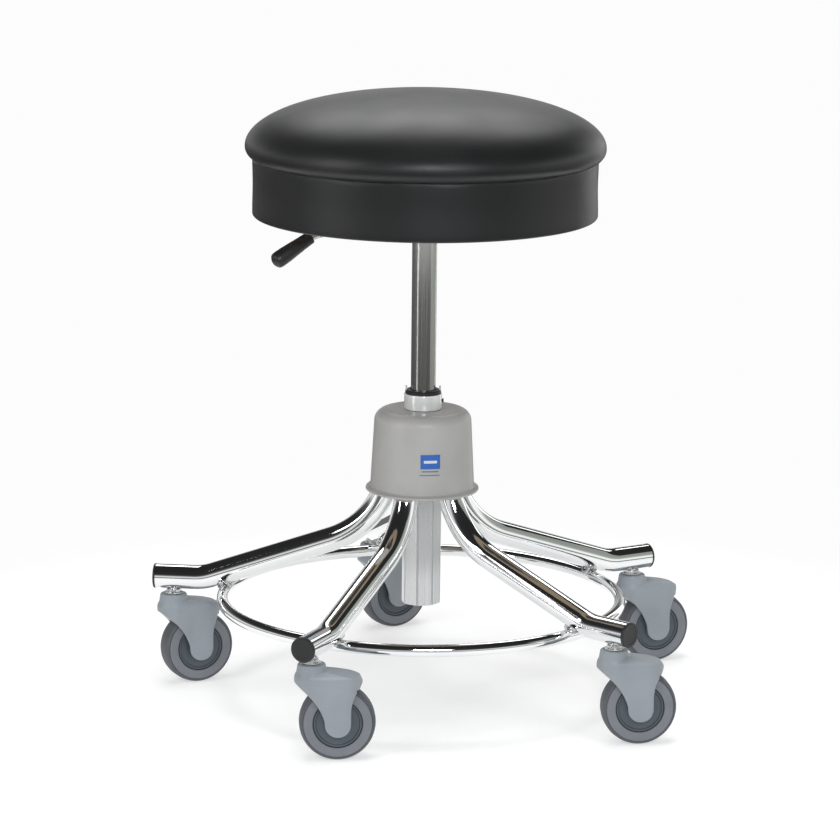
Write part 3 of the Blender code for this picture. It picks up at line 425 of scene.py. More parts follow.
def grained_plastic(name, dark, light, roughness, grain=1500, height=0.00012, strength=0.25):
    """Moulded plastic: fine spark-eroded grain over a slow change of tone."""
    s = Shade(name, Specular_IOR_Level=0.45)
    cloud = s.noise(24, 4)
    speck = s.noise(grain, 3, 0.6)
    colour = s.mix(s.remap(s.maths("ADD", cloud, speck), 0.75, 1.25, 0, 1), dark, light)
    gloss = s.remap(speck, 0.3, 0.7, roughness - 0.05, roughness + 0.06)
    return s.finish(colour, gloss, speck, strength, height)


def tyre_rubber(name, dark, pale):
    """Grey thermoplastic rubber, a little dusty, with moulding flow."""
    s = Shade(name, Specular_IOR_Level=0.35)
    dust = s.noise(60, 5, 0.6)
    speck = s.noise(1300, 3, 0.6)
    colour = s.mix(s.remap(s.maths("ADD", dust, speck), 0.7, 1.3, 0, 1), dark, pale)
    return s.finish(colour, s.remap(dust, 0.3, 0.7, 0.50, 0.68), speck, 0.3, 0.00015)


def vinyl():
    """Black upholstery vinyl: fine leather grain with painted shade in its creases, soft sheen, small
    changes of gloss.
    """
    s = Shade("black_vinyl", Specular_IOR_Level=0.5, Sheen_Weight=0.02, Sheen_Roughness=0.5)
    cloud = s.noise(13, 4)
    creases = s.remap(s.cells(1250, "DISTANCE_TO_EDGE"), 0.0, 0.22, 0, 1)
    tone = s.mix(cloud, (0.0070, 0.0073, 0.0075), (0.0120, 0.0123, 0.0125))
    # painted shade: the grain's creases are drawn darker than the rest of the vinyl
    colour = s.mix(s.remap(creases, 0, 1, 0.35, 0), tone, (0.006, 0.006, 0.0065))
    gloss = s.maths("ADD", s.remap(cloud, 0.3, 0.7, 0.33, 0.42), s.remap(creases, 0, 1, 0.06, 0))
    relief = s.maths("ADD", creases, s.maths("MULTIPLY", s.noise(2600, 2, 0.6), 0.35))
    return s.finish(colour, gloss, relief, 0.16, 0.00014)


def plywood():
    """Birch plywood disc: long grain, thin glue lines seen at its edge."""
    s = Shade("birch_ply")
    grain = s.noise(1, 6, 0.6, stretch=(14, 190, 190))
    ring = s.noise(1, 2, stretch=(3, 26, 26))
    colour = s.mix(s.maths("MULTIPLY", grain, ring), (0.31, 0.24, 0.16), (0.18, 0.13, 0.08))
    return s.finish(colour, s.remap(grain, 0.3, 0.7, 0.52, 0.70), grain, 0.25, 0.0003)


def print_colour(name, colour):
    """Printed sticker film."""
    s = Shade(name, Coat_Weight=0.25, Coat_Roughness=0.25)
    dots = s.noise(2400, 2)
    tone = s.mix(dots, tuple(c * 0.88 for c in colour), colour)
    return s.finish(tone, s.remap(dots, 0.3, 0.7, 0.34, 0.42), s.noise(500, 2), 0.08, 0.0001)


PLASTICS = {
    "bell": ("bell_plastic", (0.325, 0.320, 0.307), (0.370, 0.365, 0.352), 0.37),
    "black": ("black_plastic", (0.010, 0.010, 0.011), (0.020, 0.020, 0.021), 0.38),
    "clip": ("clip_plastic", (0.42, 0.43, 0.43), (0.55, 0.56, 0.56), 0.35),
    "fork": ("fork_plastic", (0.215, 0.240, 0.262), (0.262, 0.290, 0.313), 0.40),
    "core": ("core_plastic", (0.052, 0.066, 0.080), (0.072, 0.088, 0.103), 0.42),
    "groove": ("groove_shadow", (0.006, 0.006, 0.007), (0.012, 0.012, 0.013), 0.55),
    "thread": ("black_thread", (0.012, 0.012, 0.013), (0.035, 0.035, 0.036), 0.60, 900, 0.0002, 0.5),
}
MATS = {
    "chrome": chrome(),
    "weld": weld_metal(),
    "collar": collar_metal(),
    "polished": polished_column(),
    "steel": plain_steel(),
    "dark_steel": dark_steel(),
    "aluminium": satin_aluminium(),
    "tyre": tyre_rubber("grey_rubber", (0.144, 0.155, 0.171), (0.184, 0.196, 0.214)),
    "tread": tyre_rubber("dark_rubber", (0.070, 0.075, 0.083), (0.098, 0.104, 0.114)),
    "vinyl": vinyl(),
    "board": plywood(),
    "label_blue": print_colour("print_blue", (0.020, 0.110, 0.420)),
    "label_pale": print_colour("print_pale", (0.60, 0.62, 0.64)),
    "label_grey": print_colour("print_grey", (0.11, 0.15, 0.19)),
}
MATS.update({key: grained_plastic(*recipe) for key, recipe in PLASTICS.items()})


# ---- legs, ring and welds ---------------------------------------------------
TUBE = 12.7 * MM
TUBE_WALL = 1.6 * MM
PLUG_FLANGE = 2.5 * MM
PLUG_DEPTH = 9.0 * MM
LEG_SLOPE = math.radians(19.1)
SHOULDER_BEND = 91.4 * MM
KNEE_BEND = 60.0 * MM
STUB_LENGTH = 40.5 * MM
LEG_TOP_RADIUS = 33.8 * MM
STUB_HEIGHT = middle("leg_plug_1").z
LEG_REACH = (middle("leg_plug_1").to_2d() - AXIS).length + (PLUG_DEPTH - PLUG_FLANGE) / 2
RING_RADIUS = 207.0 * MM
BEAD_ALONG = 7.4 * MM
BEAD_ACROSS = 9.4 * MM
BEAD_RISE = 3.1 * MM
RING_ROD = (high("foot_ring").z - low("foot_ring").z) / 2
RING_HEIGHT = middle("foot_ring").z


def leg_path():
    """Centreline of a leg in its own frame, from its top to its outer end."""
    top = high("leg_1").z
    knee = LEG_REACH - STUB_LENGTH
    knee_x = knee - KNEE_BEND * math.sin(LEG_SLOPE)
    knee_z = STUB_HEIGHT + KNEE_BEND * (1 - math.cos(LEG_SLOPE))
    corner = knee_z + (knee_x - LEG_TOP_RADIUS) * math.tan(LEG_SLOPE)
    turn = math.pi / 2 - LEG_SLOPE
    bend_z = corner + SHOULDER_BEND * math.tan(turn / 2)
    shoulder = arc(LEG_TOP_RADIUS + SHOULDER_BEND, bend_z, SHOULDER_BEND, 180, 180 + math.degrees(turn), 28)
    level = arc(knee, STUB_HEIGHT + KNEE_BEND, KNEE_BEND, 270 - math.degrees(LEG_SLOPE), 270, 12)
    points = [(LEG_TOP_RADIUS, top), *shoulder, *level, (LEG_REACH, STUB_HEIGHT)]
    return [(x, 0, z) for x, z in points]


def plug_corners():
    """Profile of a tube end's plug, its axis along Z and its flange outward."""
    inner = TUBE - TUBE_WALL - 0.3 * MM
    flange = TUBE + 0.2 * MM
    return [
        (0, -PLUG_DEPTH, 0), (inner - 1.0 * MM, -PLUG_DEPTH, 0.4), (inner, -PLUG_DEPTH + 2.0 * MM, 0.4),
        (inner, 0.3 * MM, 0), (flange, 0.3 * MM, 0.3), (flange, PLUG_FLANGE, 0.9),
        (flange - 3.4 * MM, PLUG_FLANGE, 0.5), (flange - 3.8 * MM, PLUG_FLANGE - 0.35 * MM, 0.3),
        (0, PLUG_FLANGE - 0.35 * MM, 0),
    ]


def make_legs():
    leg = tube(leg_path(), TUBE, TUBE_WALL, sides=56)
    plug = lathed(plug_corners(), 5, 72, closed=False)
    plug.transform(Matrix.Translation((LEG_REACH, 0, STUB_HEIGHT)) @ ALONG)
    bead = weld_bead()
    for k in range(1, COUNT + 1):
        spot = on_leg(k)
        show(f"leg_tube_{k}", placed(leg.copy(), spot), "chrome", "base", [f"leg_{k}"])
        show(f"leg_end_plug_{k}", placed(plug.copy(), spot), "black", "base", [f"leg_plug_{k}"])
        show(f"ring_weld_{k}", placed(bead.copy(), spot), "weld", "base")


def weld_bead():
    """Fillet of weld where the ring touches the underside of a leg."""
    bm = bmesh.new()
    bmesh.ops.create_icosphere(bm, subdivisions=5, radius=1)
    contact = RING_HEIGHT + RING_ROD
    for v in bm.verts:
        ripple = 1 + 0.10 * noise.noise(v.co * 5.0) + 0.04 * noise.noise(v.co * 14.0)
        v.co = Vector((v.co.x * BEAD_ALONG, v.co.y * BEAD_ACROSS, v.co.z * BEAD_RISE)) * ripple
        v.co.z += (0.066 * v.co.y**2 - 0.05 * v.co.x**2) / MM
        v.co += Vector((RING_RADIUS, 0, contact))
    return finish_mesh(bm, 180)


def make_ring():
    profile = arc(RING_RADIUS, RING_HEIGHT, RING_ROD, 0, 360, 36)[:-1]
    ring = placed(turned(profile, 260), STANDING)
    show("foot_ring_bar", ring, "chrome", "base", ["foot_ring"])


# ---- column, collar and bell ------------------------------------------------
COLUMN_CORNER = 20.8 * MM
COLUMN_FACES = 8
COLUMN_TURN = math.radians(-11.0)
GROOVE_DEPTH = 1.35 * MM
GROOVE_HALF = 0.9 * MM
CYLINDER = 12.8 * MM
BUSH_OUTER = CYLINDER + 2.6 * MM


def column_radius(angle):
    """Radius of the extrusion's outline: flat faces, with a lipped groove along each corner."""
    step = 2 * math.pi / COLUMN_FACES
    away = (angle - COLUMN_TURN + math.pi / 2 + step / 2) % step - step / 2
    flat = COLUMN_CORNER * math.cos(step / 2) / math.cos(step / 2 - abs(away))
    across = abs(away) * COLUMN_CORNER
    lip = 0.35 * MM * math.exp(-((across - 1.25 * MM) / (0.45 * MM)) ** 2)
    dip = GROOVE_DEPTH * max(0.0, 1 - (across / GROOVE_HALF) ** 2) ** 0.5
    return flat - 0.25 * MM * math.exp(-(across / (2.2 * MM)) ** 2) - dip + lip * 0.3


def make_column():
    bottom, top = heights("outer_column")
    sides = COLUMN_FACES * 90
    spokes = [2 * math.pi * k / sides for k in range(sides)]
    bm = bmesh.new()
    rings = []
    bevel = 0.25 * MM
    inner = BUSH_OUTER + 0.3 * MM
    for inset, z in ((bevel, bottom), (0, bottom + bevel), (0, top)):
        rings.append([bm.verts.new(polar(column_radius(a) - inset, a, z)) for a in spokes])
    for radius, z in ((inner, top), (inner, bottom + bevel), (inner + bevel, bottom)):
        rings.append(ring_of(bm, radius, z, sides))
    join_all(bm, rings, closed=True)
    column = placed(finish_mesh(bm, 30), STANDING)
    show("column_extrusion", column, "aluminium", "base", ["outer_column"])

    foot, head = heights("gas_cylinder")
    inside = CYLINDER - 1.7 * MM
    corners = [
        (5.4 * MM, foot, 0.2), (CYLINDER - 1.0 * MM, foot, 0.4), (CYLINDER, foot + 1.5 * MM, 0.6),
        (CYLINDER, head, 0.8), (2.8 * MM, head, 0.2), (2.8 * MM, head - 6 * MM, 0),
        (inside, head - 6 * MM, 0), (inside, foot + 10 * MM, 0), (5.4 * MM, foot + 10 * MM, 0),
    ]
    lift = placed(lathed(corners, 4, 128), STANDING)
    show("gas_lift_tube", lift, "polished", "seat", ["gas_cylinder"])


def make_collar():
    bottom, top = heights("column_collar")
    inner = BUSH_OUTER + 0.3 * MM
    outer = 19.5 * MM
    corners = [(inner, bottom, 0.2), (outer, bottom, 0.6), (outer, top, 0.7), (inner, top, 0.3)]
    collar = placed(lathed(corners, 4, 128), STANDING)
    show("top_collar", collar, "collar", "base", ["column_collar"])

    screw_z = middle("collar_screw").z
    start = low("collar_screw").x - AXIS.x
    end = high("collar_screw").x - AXIS.x
    corners = [
        (0, start, 0), (2.0 * MM, start, 0.3), (2.0 * MM, end, 0.5), (1.1 * MM, end, 0),
        (1.0 * MM, end - 1.2 * MM, 0), (0, end - 1.4 * MM, 0),
    ]
    screw = lathed(corners, 4, 32, closed=False)
    placed(screw, STANDING, Matrix.Translation((0, 0, screw_z)), ALONG)
    show("set_screw", screw, "dark_steel", "base", ["collar_screw"])

    bush_low = low("column_bush").z
    flange_low = top + 0.3 * MM
    flange_high = flange_low + 3.8 * MM
    inner = CYLINDER + 0.4 * MM
    corners = [
        (inner, bush_low, 0.3), (BUSH_OUTER, bush_low, 0.3), (BUSH_OUTER, flange_low, 0),
        (18.6 * MM, flange_low, 0.4), (18.6 * MM, flange_high - 1.2 * MM, 0.5),
        (16.9 * MM, flange_high, 0.6), (inner + 0.9 * MM, flange_high, 0.3),
        (inner, flange_high - 0.8 * MM, 0.3),
    ]
    bush = placed(lathed(corners, 4, 128), STANDING)
    show("guide_bush", bush, "black", "base", ["column_bush"])
    for side, word in ((-1, "left"), (1, "right")):
        show(f"bush_clip_{word}", bush_clip(side, flange_high), "clip", "base")


def bush_clip(side, flange_high):
    """Small snap tab that stands on the bush's flange."""
    corners = [
        (16.4 * MM, -3.0 * MM, 0.5), (18.3 * MM, -3.0 * MM, 0.5), (18.3 * MM, 3.0 * MM, 0.5),
        (16.4 * MM, 3.0 * MM, 0.5),
    ]
    tab = prism(rounded(corners, 4), flange_high - 1.6 * MM, flange_high + 3.1 * MM)
    return placed(tab, STANDING, Matrix.Rotation(0 if side > 0 else math.pi, 4, "Z"))


BELL_FOOT = 54.0 * MM
BELL_TOP = 50.0 * MM


def bell_wall(z):
    """Outer radius of the bell's tapered wall at a height."""
    bottom, top = heights("bell_cover")
    share = (z - bottom) / (top - bottom)
    return BELL_FOOT + (BELL_TOP - BELL_FOOT) * share


def make_bell():
    bottom, top = heights("bell_cover")
    hole = BUSH_OUTER + 0.4 * MM
    wall = 2.5 * MM
    corners = [
        (hole, top, 0.4), (BELL_TOP - 0.4 * MM, top - 0.2 * MM, 12.5),
        (BELL_FOOT - 0.1 * MM, bottom + 4.2 * MM, 2.2), (58.6 * MM, bottom + 2.4 * MM, 1.1),
        (58.6 * MM, bottom, 1.1), (BELL_FOOT - wall + 2.6 * MM, bottom, 0.8),
        (BELL_FOOT - wall, bottom + 5.0 * MM, 3.0), (BELL_TOP - wall, top - wall, 10.0),
        (hole, top - wall, 0.2),
    ]
    bell = placed(lathed(corners, 14, 192), STANDING)
    show("bell_shell", bell, "bell", "base", ["bell_cover"])
    make_label()


LABEL_TURN = math.radians(-81.0)
LABEL_MIDDLE = 39.7 * MM


def sticker(left, right, bottom, top, lift):
    """Thin film on the bell's wall, its edges given from the label's middle."""
    base = low("bell_cover").z + LABEL_MIDDLE
    bm = bmesh.new()
    columns = 24
    rows = 6
    film = 0.12 * MM
    layers = []
    for out in (lift, lift + film):
        grid = []
        for j in range(rows + 1):
            line = []
            for i in range(columns + 1):
                x = left + (right - left) * i / columns
                z = base + bottom + (top - bottom) * j / rows
                radius = bell_wall(z) + out
                line.append(bm.verts.new(polar(radius, LABEL_TURN + x / radius, z)))
            grid.append(line)
        for below, above in zip(grid, grid[1:]):
            for i in range(columns):
                bm.faces.new((below[i], below[i + 1], above[i + 1], above[i]))
        layers.append(rim_of(grid))
    join_all(bm, layers)
    return placed(finish_mesh(bm), STANDING)


def rim_of(grid):
    bottom = grid[0]
    right = [line[-1] for line in grid[1:-1]]
    top = grid[-1][::-1]
    left = [line[0] for line in grid[1:-1]][::-1]
    return bottom + right + top + left


def make_label():
    """Plain two-tone sticker with a bar and two rules."""
    parts = (
        ("label_panel", (-10.2, 10.2, -7.4, 7.4, 0.02), "label_blue"),
        ("label_bar", (-6.8, 6.8, -1.4, 1.4, 0.14), "label_pale"),
        ("label_rule_upper", (-8.8, 8.4, -10.6, -9.4, 0.02), "label_grey"),
        ("label_rule_lower", (-11.2, 9.6, -14.4, -13.4, 0.02), "label_grey"),
    )
    for name, sizes, mat in parts:
        film = sticker(*(size * MM for size in sizes))
        show(name, film, mat, "base")


# ---- casters ----------------------------------------------------------------
WHEEL_RADIUS = pivot("wheel_spin_1").z
TRAIL = (pivot("wheel_spin_1") - pivot("caster_swivel_1")).to_2d().length
TREAD_HALF = 12.0 * MM
CORE_RADIUS = 24.6 * MM
PLATE_INNER = 13.5 * MM
FORK_HALF = 17.3 * MM
FORK_TIP = 13.1 * MM
HOOD_TAIL = TRAIL + 25.3 * MM
NECK_TOP = high("caster_fork_1").z
HOOD_TOP = NECK_TOP - 7.0 * MM
HOOD_CROWN = 9.0 * MM
HOOD_ROUND = 9.5 * MM
FORK_VOXEL = 0.85 * MM
NECK_RADIUS = 13.9 * MM
STEM_BORE = 5.4 * MM
STEM_DEPTH = 23.3 * MM
STEM_COLLAR = 8.0 * MM
STEM_RADIUS = 5.0 * MM


def curve(start, control, end, count):
    """Points along a quadratic curve, without its first point."""
    points = []
    for i in range(1, count + 1):
        t = i / count
        spot = Vector(start) * (1 - t) ** 2 + Vector(control) * 2 * t * (1 - t) + Vector(end) * t**2
        points.append((spot.x, spot.y))
    return points


def fork_side():
    """Side view of the fork as (x, z): hood, leading edge, round tip and trailing edge."""
    tip_left = TRAIL - FORK_TIP
    tip_right = TRAIL + FORK_TIP
    nose = (-FORK_HALF, HOOD_TOP - 11.5 * MM)
    nape = (HOOD_TAIL - 4.0 * MM, HOOD_TOP - 18.0 * MM)
    trail_start = (tip_right, WHEEL_RADIUS + 13.0 * MM)
    points = [(-FORK_HALF + 1.0 * MM, HOOD_TOP - 1.0 * MM), (-FORK_HALF, HOOD_TOP - 9.0 * MM), nose]
    points += curve(nose, (7.0 * MM, HOOD_TOP - 28.0 * MM), (tip_left, WHEEL_RADIUS + 2.0 * MM), 16)
    points += arc(TRAIL, WHEEL_RADIUS, FORK_TIP, 180, 360, 28)
    points += [trail_start]
    points += curve(trail_start, (tip_right + 0.4 * MM, HOOD_TOP - 26.5 * MM), nape, 12)
    points += [(HOOD_TAIL, HOOD_TOP - 11.0 * MM), (HOOD_TAIL - 3.0 * MM, HOOD_TOP - 6.0 * MM)]
    points += [(NECK_RADIUS + 2.0 * MM, HOOD_TOP)]
    return points


def round_ended(front, back, radius, count):
    return arc(back, 0, radius, -90, 90, count) + arc(front, 0, radius, 90, 270, count)


def hood_plan():
    """Round-ended block with a crowned top, which gives the hood its plan."""
    tail = HOOD_TAIL - FORK_HALF
    shoulder = HOOD_TOP - 8.5 * MM
    levels = [(0.0, 0.0), (shoulder, 0.0)]
    for step in range(1, 9):
        angle = math.pi / 2 * step / 8
        rise = HOOD_CROWN * math.sin(angle) ** 0.9
        levels.append((shoulder + rise, HOOD_ROUND * (1 - math.cos(angle)) ** 1.1))
    return stacked([(round_ended(0, tail, FORK_HALF - inset, 32), z) for z, inset in levels])


def bar_across(radius, half, x, z, sides=72):
    """Round bar along Y, centred on y = 0."""
    mesh = turned([(0, -half), (radius, -half), (radius, half), (0, half)], sides, closed=False)
    return placed(mesh, Matrix.Translation((x, 0, z)), ACROSS)


def solid(base, steps):
    """The mesh of base after its Boolean steps, each an (operation, mesh) pair."""
    work = linked("work", base)
    helpers = []
    for operation, mesh in steps:
        helper = linked("helper", mesh)
        helpers.append(helper)
        mod = work.modifiers.new(operation, "BOOLEAN")
        mod.operation = operation
        mod.object = helper
        mod.solver = "EXACT"
    return taken_off(work, helpers)


def taken_off(work, helpers=()):
    """The evaluated mesh of a working object, which is then removed with its helpers."""
    bpy.context.view_layer.update()
    graph = bpy.context.evaluated_depsgraph_get()
    mesh = bpy.data.meshes.new_from_object(work.evaluated_get(graph))
    for obj in (work, *helpers):
        bpy.data.objects.remove(obj, do_unlink=True)
    mesh.materials.clear()
    return mesh


def softened(mesh, voxel, rounds, factor=0.5):
    """The solid remeshed and relaxed, so that each edge has a moulded radius."""
    work = linked("work", mesh)
    remesh = work.modifiers.new("remesh", "REMESH")
    remesh.mode = "VOXEL"
    remesh.voxel_size = voxel
    remesh.use_smooth_shade = True
    relax = work.modifiers.new("relax", "SMOOTH")
    relax.iterations = rounds
    relax.factor = factor
    out = taken_off(work)
    out.shade_smooth()
    return out


def fork_mesh():
    """Moulded fork: crowned hood with two cheeks, a neck, and the wheel's space cut out."""
    body = prism(fork_side(), -FORK_HALF - 2 * MM, FORK_HALF + 2 * MM)
    body.transform(ACROSS)
    neck_corners = [
        (0, HOOD_TOP - 8 * MM, 0), (NECK_RADIUS + 3.4 * MM, HOOD_TOP - 8 * MM, 0),
        (NECK_RADIUS + 1.2 * MM, HOOD_TOP - 1.5 * MM, 3.0), (NECK_RADIUS, NECK_TOP, 1.6),
        (0, NECK_TOP, 0),
    ]
    neck = lathed(neck_corners, 6, 72, closed=False)
    slot = bar_across(WHEEL_RADIUS + 1.3 * MM, PLATE_INNER, TRAIL, WHEEL_RADIUS, 120)
    end = NECK_TOP - STEM_DEPTH
    past = NECK_TOP + STEM_DEPTH
    bore = turned([(0, end), (STEM_BORE, end), (STEM_BORE, past), (0, past)], 40, closed=False)
    cuts = [("DIFFERENCE", slot), ("DIFFERENCE", bore)]
    shape = solid(body, [("INTERSECT", hood_plan()), ("UNION", neck), *cuts])
    return softened(shape, FORK_VOXEL, 7)


def tyre_mesh():
    """Tyre wall: a flat side ring that stands a little proud of the tread's shoulder."""
    half = TREAD_HALF
    side = [
        (CORE_RADIUS + 0.3 * MM, half * 0.965, 0.4), (CORE_RADIUS + 1.2 * MM, half, 0.6),
        (WHEEL_RADIUS - 4.4 * MM, half, 0.6), (WHEEL_RADIUS - 3.9 * MM, half - 1.6 * MM, 0.3),
    ]
    return placed(lathed(on_both_sides(side), 6, 144), ACROSS)


def tread_mesh():
    """Darker crowned tread with its stepped shoulders."""
    half = TREAD_HALF
    side = [
        (WHEEL_RADIUS - 5.2 * MM, half - 1.5 * MM, 0),
        (WHEEL_RADIUS - 3.6 * MM, half - 1.3 * MM, 0.4),
        (WHEEL_RADIUS - 2.7 * MM, half - 0.9 * MM, 0.8),
        (WHEEL_RADIUS - 0.7 * MM, half * 0.72, 2.2), (WHEEL_RADIUS - 0.02 * MM, half * 0.30, 3.0),
    ]
    return placed(lathed(on_both_sides(side), 6, 144), ACROSS)


def core_mesh():
    """Wheel centre: dished web between a rim and a boss that fills the fork."""
    rim = TREAD_HALF * 0.92
    side = [
        (4.4 * MM, PLATE_INNER - 0.6 * MM, 0.2), (8.5 * MM, PLATE_INNER - 0.6 * MM, 0.4),
        (9.5 * MM, rim - 1.6 * MM, 0.8), (CORE_RADIUS - 3.2 * MM, rim - 1.5 * MM, 0.8),
        (CORE_RADIUS - 2.4 * MM, rim, 0.5), (CORE_RADIUS - 0.9 * MM, rim, 0.3),
        (CORE_RADIUS - 0.7 * MM, rim - 0.9 * MM, 0.2), (CORE_RADIUS, rim - 0.9 * MM, 0),
    ]
    return placed(lathed(on_both_sides(side), 5, 144), ACROSS)


def rim_line_mesh():
    """Dark line in the narrow gap between wheel centre and tyre."""
    outer = CORE_RADIUS + 0.35 * MM
    inner = CORE_RADIUS - 0.85 * MM
    depth = TREAD_HALF * 0.92 - 0.35 * MM
    corners = [(inner, -depth, 0), (outer, -depth, 0), (outer, depth, 0), (inner, depth, 0)]
    return placed(lathed(corners, 3, 144), ACROSS)


def stem_mesh():
    """Stem with the washer that the neck turns against, and its nut inside the leg."""
    bottom, top = heights("caster_stem_1")
    washer_low = NECK_TOP + 0.3 * MM
    washer_high = STUB_HEIGHT - TUBE - 0.3 * MM
    nut_low = top - 5.0 * MM
    corners = [
        (0, bottom, 0), (STEM_RADIUS, bottom, 0.5), (STEM_RADIUS, washer_low, 0),
        (STEM_COLLAR + 1.6 * MM, washer_low, 0.4),
        (STEM_COLLAR + 1.6 * MM, washer_low + 1.5 * MM, 0.4),
        (STEM_COLLAR - 0.6 * MM, washer_low + 1.7 * MM, 0.3),
        (STEM_COLLAR - 0.6 * MM, washer_high, 0.3), (STEM_RADIUS, washer_high, 0),
        (STEM_RADIUS, nut_low, 0), (6.8 * MM, nut_low, 0.3), (6.8 * MM, top, 0.5), (0, top, 0),
    ]
    return lathed(corners, 4, 48, closed=False)


def make_casters():
    pieces = (
        ("stem", stem_mesh(), "steel", "base", "caster_stem", "steel"),
        ("fork", fork_mesh(), "fork", "caster_{}", "caster_fork", "fork"),
        ("wheel_centre", core_mesh(), "core", "wheel_{}", "wheel_core", "core"),
        ("tyre", tyre_mesh(), "tyre", "wheel_{}", "wheel_tyre", "tyre"),
        ("tread", tread_mesh(), "tread", "wheel_{}", None, "tyre"),
        ("rim_line", rim_line_mesh(), "groove", "wheel_{}", None, "core"),
    )
    axle = Matrix.Translation((TRAIL, 0, WHEEL_RADIUS))
    for k in range(1, COUNT + 1):
        for name, mesh, mat, body, node, slot in pieces:
            steps = [on_caster(k), axle] if body == "wheel_{}" else [on_caster(k)]
            nodes = [f"{node}_{k}"] if node else ()
            show(f"{name}_{k}", placed(mesh.copy(), *steps), mat, body.format(k), nodes)


# ---- seat -------------------------------------------------------------------
SEAT_BOTTOM = low("seat_boxing").z
SEAM_HEIGHT = high("seat_boxing").z + 0.3 * MM
SEAT_TOP = high("seat_cushion").z
BOXING_RADIUS = 176.6 * MM
BOXING_SKIN = 4.0 * MM
BOXING_TURN_IN = 12.0 * MM
HEM_RADIUS = 2.4 * MM
ROLL_RADIUS = 1.6 * MM
BACK = math.pi / 2
CUSHION_RADIUS = 184.5 * MM
CUSHION_TUCK = 6.0 * MM
CUSHION_WIDEST = SEAM_HEIGHT + 11.6 * MM
DOME_RISE = SEAT_TOP - CUSHION_WIDEST
DOME_POWER = 2.18
PAD_VOXEL = 4 * MM
SIM_FRAMES = 20
SIM_PRESSURE = 4.0
SIM_REACH = 26 * MM


def dome_height(radius):
    share = min(radius / CUSHION_RADIUS, 1.0)
    return CUSHION_WIDEST + DOME_RISE * math.sqrt(max(0.0, 1 - share**DOME_POWER))


def side_radius(z):
    """Radius of the cushion's side between the seam and its widest line."""
    share = min(max((CUSHION_WIDEST - z) / (CUSHION_WIDEST - SEAM_HEIGHT), 0.0), 1.0)
    return CUSHION_RADIUS - CUSHION_TUCK * share**2.4


def slack_pad():
    """The cushion before it is filled: the same outline, flatter and a little smaller."""
    inner = BOXING_RADIUS - BOXING_SKIN - 1.0 * MM
    tuck = CUSHION_RADIUS - CUSHION_TUCK
    profile = [(0, SEAM_HEIGHT - 10 * MM), (inner, SEAM_HEIGHT - 10 * MM), (inner, SEAM_HEIGHT)]
    profile += [(tuck - 1.0 * MM, SEAM_HEIGHT + 0.3 * MM)]
    profile += [(tuck + 2.0 * MM, SEAM_HEIGHT + 4.0 * MM), (tuck + 2.5 * MM, CUSHION_WIDEST)]
    for step in range(1, 25):
        angle = math.pi / 2 * step / 24
        radius = (tuck + 2.5 * MM) * math.cos(angle)
        height = CUSHION_WIDEST + 0.80 * (dome_height(radius) - CUSHION_WIDEST)
        profile.append((radius if step < 24 else 0, height))
    return turned(profile, 128, closed=False)


def filled_pad():
    """The pad blown up as cloth and held at its seam, no point moved farther than a set reach."""
    work = linked("pad_work", slack_pad())
    remesh = work.modifiers.new("remesh", "REMESH")
    remesh.mode = "VOXEL"
    remesh.voxel_size = PAD_VOXEL
    filling = taken_off(work)
    pad = linked("pad_cloth", filling)
    rest = np.array([v.co for v in pad.data.vertices])
    moved = blown(pad, rest)
    bpy.data.objects.remove(pad, do_unlink=True)
    step = moved - rest
    length = np.linalg.norm(step, axis=1, keepdims=True)
    moved = rest + step * np.minimum(1.0, SIM_REACH / np.maximum(length, 1e-9))
    return filling, moved


def blown(pad, rest):
    held = pad.vertex_groups.new(name="held")
    held.add([i for i, p in enumerate(rest) if p[2] < SEAM_HEIGHT + 3.0 * MM], 1.0, "REPLACE")
    cloth = pad.modifiers.new("cloth", "CLOTH")
    cloth.settings.use_pressure = True
    cloth.settings.uniform_pressure_force = SIM_PRESSURE
    cloth.settings.vertex_group_mass = "held"
    cloth.settings.effector_weights.gravity = 0
    cloth.settings.quality = 6
    cloth.point_cache.frame_start = 1
    cloth.point_cache.frame_end = SIM_FRAMES
    scene = bpy.context.scene
    for step in range(1, SIM_FRAMES + 1):
        scene.frame_set(step)
    graph = bpy.context.evaluated_depsgraph_get()
    result = pad.evaluated_get(graph).to_mesh()
    moved = np.array([v.co for v in result.vertices])
    scene.frame_set(1)
    return moved


def drawn_to(points, pull):
    """Points drawn onto the cover's cut shape: all of the way where they bulge past it."""
    out = points.copy()
    radius = np.hypot(out[:, 0], out[:, 1])
    rise = out[:, 2] - CUSHION_WIDEST
    top = rise > 0
    near = np.zeros(len(out))
    far = np.full(len(out), 60.0)
    for halving in range(40):
        mid = (near + far) / 2
        over = (mid * rise / DOME_RISE) ** 2 + (mid * radius / CUSHION_RADIUS) ** DOME_POWER > 1
        far = np.where(over, mid, far)
        near = np.where(over, near, mid)
    scale = np.where(near < 1, near, 1 + (near - 1) * pull)
    out[top, :2] *= scale[top, None]
    out[top, 2] = CUSHION_WIDEST + rise[top] * scale[top]
    for i in np.nonzero(~top)[0]:
        allowed = side_radius(out[i, 2])
        outer = radius[i] > CUSHION_RADIUS - CUSHION_TUCK - 3.5 * MM and out[i, 2] > SEAM_HEIGHT + 1.0 * MM
        if radius[i] > allowed:
            out[i, :2] *= allowed / radius[i]
        elif outer:
            out[i, :2] *= 1 + (allowed / radius[i] - 1) * pull
    out[:, 2] = np.maximum(out[:, 2], SEAM_HEIGHT - 10 * MM)
    return out


